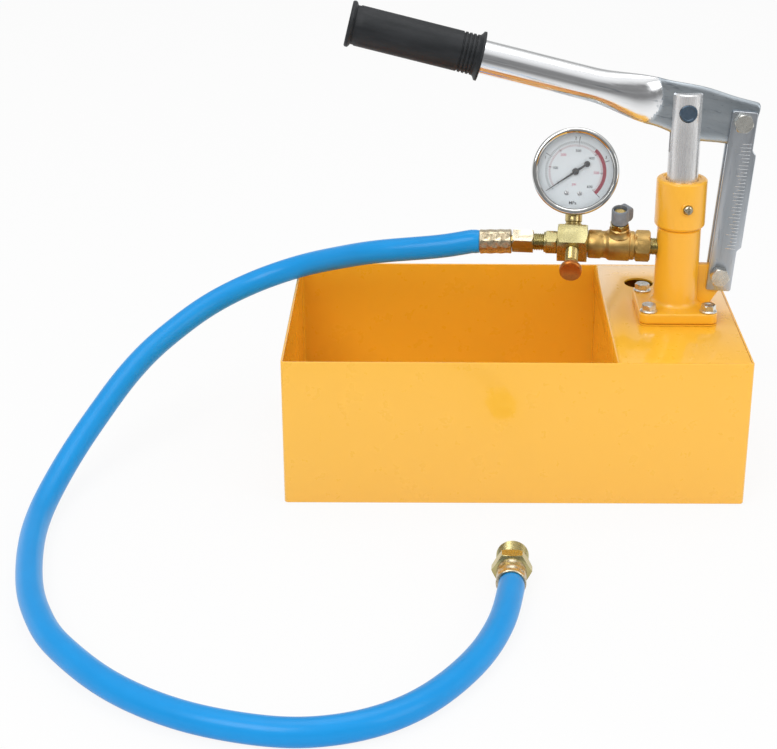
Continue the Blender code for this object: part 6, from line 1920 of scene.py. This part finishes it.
@dataclass
class Gauge:
    """Pressure gauge with its socket, case, bezel, printed dial, pointer and window.

    Profiles stand on the gauge's axis, from its middle to the front; the socket's hangs down from it.
    """

    reach: float = 0.0538
    socket_neck: Profile = ((0, 0.0237), (0.0037, 0.0237), (0.0037, 0.0297), (0.0062, 0.0297),
                            (0.0065, 0.0303), (0.0065, 0.0372), (0.0058, 0.0380), (0.0058, 0.0386),
                            (0.0065, 0.0392), (0.0065, 0.0465), (0, 0.0465))
    socket_core: tuple[float, ...] = (-0.0055, 0.0055, -0.0223, -0.002)  # left, right, low and high
    socket_core_depth: Point = (-0.0112, 0.0041)  # back and front
    socket_joint: Rod = (0.0037, 0.018, 0.0297)
    case_side: Profile = ((0.0294, 0.0093), (0.0306, 0.0093), (0.0306, -0.0098))
    case_curve: Curve = (0.0274, -0.0098, 0.0032)
    case_back: Profile = ((0.0070, -0.0130), (0.0066, -0.0134), (0, -0.0134), (0, -0.0118), (0.0268, -0.0118),
                          (0.0294, -0.0092))
    case_hole: Rod = (0.0074, 0.01, 0.04)
    bezel_side: Profile = ((0.0309, 0.0075), (0.0326, 0.0075), (0.0330, 0.0080), (0.0330, 0.0104))
    bezel_curve: Curve = (0.0308, 0.0108, 0.0022)
    bezel_lip: Profile = ((0.0300, 0.0129), (0.0290, 0.0118), (0.0286, 0.0116), (0.0283, 0.0117),
                          (0.0309, 0.0117))
    dial: Profile = ((0.0013, 0.0044), (0.0291, 0.0044), (0.0291, 0.0052), (0.0013, 0.0052))
    dial_front: float = 0.0052
    print_sunk: float = 0.0001
    print_rise: float = 0.00006
    band_rise: float = 0.00009
    zero_deg: float = 215
    sweep_deg: float = 260
    rings: tuple[TickRing, ...] = (
        TickRing("scale_outer_fine", 0.0214, 0.0232, 0.00034, 81, INK),
        TickRing("scale_inner_fine", 0.0190, 0.0206, 0.00032, 71, RED_INK),
        TickRing("scale_outer_long", 0.0212, 0.0266, 0.00046, 5, INK),
        TickRing("scale_inner_long", 0.0186, 0.0208, 0.00040, 7, INK))
    band: Point = (0.0206, 0.0232)  # inner and outer radius
    band_deg: Point = (49, -46)
    letter_half: float = 0.00004
    letter_rise: float = 0.00003
    letter_weight: float = 0.012
    inner_numbers: Point = (0.0029, 0.0157)  # height of the figures, distance from the middle
    outer_numbers: Point = (0.0030, 0.0252)  # the same
    inner_steps: int = 6
    inner_value: int = 100
    pink_numbers: tuple[int, ...] = (2, 5)
    outer_steps: int = 4
    outer_shift_deg: float = 7
    units: tuple[tuple[str, str, float, float, float, Finish], ...] = (  # piece, words, height, x, y, ink
        ("unit_outer", "MPa", 0.0034, -0.0013, -0.0237, INK),
        ("unit_inner", "psi", 0.0030, -0.0008, -0.0094, PINK_INK))
    screw: Profile = ((0, 0.0049), (0.0018, 0.0049), (0.0018, 0.0055), (0.0013, 0.0059), (0, 0.0060))
    screw_round: int = 24
    screw_arm: Point = (0.0014, 0.0003)  # half length, half width
    screw_cut: Point = (0.0055, 0.0072)  # bottom and top
    screw_turn: float = 0.4
    screw_height: float = -0.0164
    screw_sides: tuple[tuple[str, float], ...] = (("left", -0.0061), ("right", 0.0038))
    stop: Rod = (0.0004, 0.0049, 0.0074)
    stop_round: int = 16
    stop_reach: float = 0.0215
    stop_deg: float = 219
    blade: Profile = ((0.0250, -0.00018), (0.0250, 0.00018), (0.0080, 0.00062), (0.0, 0.0010),
                      (-0.0086, 0.00075))
    blade_back: Profile = ((-0.0086, -0.00075), (0.0, -0.0010), (0.0080, -0.00062))
    blade_height: Point = (0.0068, 0.0073)  # back and front
    counterweight: Point = (-0.0103, 0.0023)  # middle along the blade, radius
    counterweight_deg: Point = (25, 335)
    hub: Profile = ((0, 0.0042), (0.0010, 0.0042), (0.0010, 0.0064), (0.0026, 0.0068), (0.0026, 0.0074),
                    (0.0021, 0.0079), (0, 0.0080))
    window: Profile = ((0, 0.0098), (0.0288, 0.0098), (0.0291, 0.0101), (0.0291, 0.0111), (0.0288, 0.0114),
                       (0, 0.0114))

    def build(self) -> None:
        """Make the gauge's pieces."""
        self.socket()
        self.housing()
        DIAL_WHITE.dress(lathe(self.dial, "gauge_dial_plate", FINE_ROUND, True), ["gauge_dial"], self.place())
        self.ticks()
        self.numbers()
        self.red_band()
        self.dial_screws()
        self.pointer()
        GLASS.dress(lathe(self.window, "gauge_window_clear"), ["gauge_window"], self.place())
        BRASS.repaint("gauge_bourdon")

    def place(self) -> Matrix:
        """Frame at the gauge's centre: +Z out of its face, +Y up, +X to the reader's right."""
        upward, facing = (HERE.round_manifold(HERE.gauge_tilt_deg - turn) for turn in (0, 90))
        return stand(HERE.on_manifold(HERE.tee_centre) + upward * self.reach, facing, upward.cross(facing))

    def socket(self) -> None:
        """Brass socket with a flat-sided neck above the tee."""
        piece = settle(lathe(self.socket_neck, "gauge_socket_turned"), FACE_ON)
        work(piece, Solid.JOIN, extrude(oblong(*self.socket_core), *self.socket_core_depth))
        work(piece, Solid.JOIN, settle(bar(*self.socket_joint), FACE_ON))
        BRASS.grained(piece, "gauge_socket", self.place(), "socket")

    def housing(self) -> None:
        """Drawn steel case with a soft back edge, and its polished bezel, rolled over at the front."""
        x, z, radius = self.case_curve
        profile = [*self.case_side, *arc((x, z), radius, 0, -90), *self.case_back]
        case = drill(lathe(profile, "gauge_case_drawn", ROUND, True), *self.case_hole, ORIGIN, FRONT)
        STAINLESS.grained(case, "gauge_case", self.place(), "case")
        x, z, radius = self.bezel_curve
        profile = [*self.bezel_side, *arc((x, z), radius, 0, 90, 10), *self.bezel_lip]
        bezel = lathe(profile, "gauge_bezel_polished", FINE_ROUND, True)
        CHROME.grained(bezel, "gauge_bezel", self.place())

    def printed(self, name: str, piece: Thing, ink: Finish) -> None:
        """Lay a printed shape on the dial, drawn in the gauge's frame."""
        piece.name = name
        ink.dress(piece, place=self.place())

    def printed_solid(self, outline: Profile, rise: float) -> Thing:
        """Print of an outline, a little above the dial."""
        return extrude(outline, self.dial_front - self.print_sunk, self.dial_front + rise)

    def ticks(self) -> None:
        """Two rings of fine ticks, and long ticks at the numbers."""
        start, sweep = math.radians(self.zero_deg), math.radians(self.sweep_deg)
        for ring in self.rings:
            half = ring.width / 2
            piece = self.printed_solid(oblong(ring.inner, ring.outer, -half, half), self.print_rise)
            Repeat.ON_ARC.apply(piece, ring.ink, Count=ring.count, Radius=0.0, First_Turn=start,
                                Turn=-sweep / (ring.count - 1))
            self.printed(ring.name, piece, ring.ink)

    def text(self, words: str, size: float, x: float, y: float) -> Thing:
        """Flat text centred on a point of the dial.

        Args:
            words: What is written.
            size: Height of the letters.
            x: Right of the centre.
            y: Above the centre.

        Returns:
            The text as a mesh in the gauge's frame.
        """
        curve = bpy.data.curves.new("text", "FONT")
        curve.body = words
        curve.size = size
        curve.align_x = "CENTER"
        curve.align_y = "CENTER"
        curve.extrude = self.letter_half
        curve.offset = size * self.letter_weight
        curve.resolution_u = 3
        holder = in_scene("text", curve)
        bpy.context.view_layer.update()
        mesh = bpy.data.meshes.new_from_object(holder.evaluated_get(bpy.context.evaluated_depsgraph_get()))
        bpy.data.objects.remove(holder, do_unlink=True)
        return settle(in_scene("text", mesh), Matrix.Translation((x, y, self.dial_front + self.letter_rise)))

    def number(self, value: int, turn_deg: float, size: float, reach: float) -> Thing:
        """Number on the dial at an angle from its zero."""
        angle = math.radians(self.zero_deg - turn_deg)
        return self.text(str(value), size, reach * math.cos(angle), reach * math.sin(angle))

    def numbers(self) -> None:
        """Plain numbers of both scales and the units."""
        for i in range(self.inner_steps + 1):
            turn = self.sweep_deg * i / self.inner_steps
            label = self.number(i * self.inner_value, turn, *self.inner_numbers)
            self.printed("inner_number_" + str(i), label, PINK_INK if i in self.pink_numbers else INK)
        for i in range(1, self.outer_steps):
            turn = self.sweep_deg * i / self.outer_steps - self.outer_shift_deg
            label = self.number(i, turn, *self.outer_numbers)
            self.printed("outer_number_" + str(i), label, INK)
        for name, words, size, x, y, ink in self.units:
            self.printed(name, self.text(words, size, x, y), ink)

    def red_band(self) -> None:
        """Red band over the upper end of the scale."""
        inner, outer = self.band
        start, end = self.band_deg
        outline = arc((0, 0), outer, start, end, 48) + arc((0, 0), inner, end, start, 48)
        self.printed("red_band", self.printed_solid(outline, self.band_rise), RED_INK)

    def dial_screws(self) -> None:
        """Two small cross-head screws in the dial and the pointer's stop pin."""
        reach, half = self.screw_arm
        for side, x in self.screw_sides:
            piece = lathe(self.screw, "dial_screw_" + side, self.screw_round)
            for turn in (self.screw_turn, self.screw_turn + math.pi / 2):
                arm = extrude(oblong(-reach, reach, -half, half), *self.screw_cut)
                work(piece, Solid.CUT, settle(arm, Matrix.Rotation(turn, 4, "Z")))
            settle(piece, Matrix.Translation((x, self.screw_height, 0)))
            STAINLESS.dress(piece, place=self.place(), tag="dial", slot="dial")
        angle = math.radians(self.stop_deg)
        x, y = self.stop_reach * math.cos(angle), self.stop_reach * math.sin(angle)
        pin = settle(bar(*self.stop, "pointer_stop", self.stop_round), Matrix.Translation((x, y, 0)))
        DARK_STEEL.dress(pin, place=self.place(), tag="dial", slot="dial")

    def pointer(self) -> None:
        """Tapered pointer with its hub and round counterweight."""
        x, radius = self.counterweight
        outline = [*self.blade, *arc((x, 0), radius, *self.counterweight_deg, 24), *self.blade_back]
        piece = extrude(outline, *self.blade_height, "pointer_blade")
        work(piece, Solid.JOIN, lathe(self.hub, segments=SMALL_ROUND))
        settle(piece, Matrix.Rotation(math.radians(self.zero_deg), 4, "Z"))
        POINTER_BLACK.dress(piece, ["gauge_pointer"], self.place(), body="pointer")


@dataclass
class Inlet:
    """Pieces under the deck, which keep their solids."""

    brass: tuple[str, ...] = ("suction_valve_body",)
    stainless: tuple[str, ...] = ("suction_ball", "suction_tube", "suction_strainer")

    def build(self) -> None:
        """Give the inlet's solids their finishes."""
        BRASS.repaint(*self.brass)
        STAINLESS.repaint(*self.stainless)


def main() -> None:
    """Build the studio and every sub-assembly."""
    logging.basicConfig(level=logging.INFO, format="%(name)s: %(message)s")
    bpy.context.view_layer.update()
    for part in (Studio, HoseRun, Tank, Pump, Link, Lever, BallValve, Outlet, Gauge, Inlet):
        part().build()
        log.info("%s done", part.__name__)


if __name__ == "__main__":
    main()
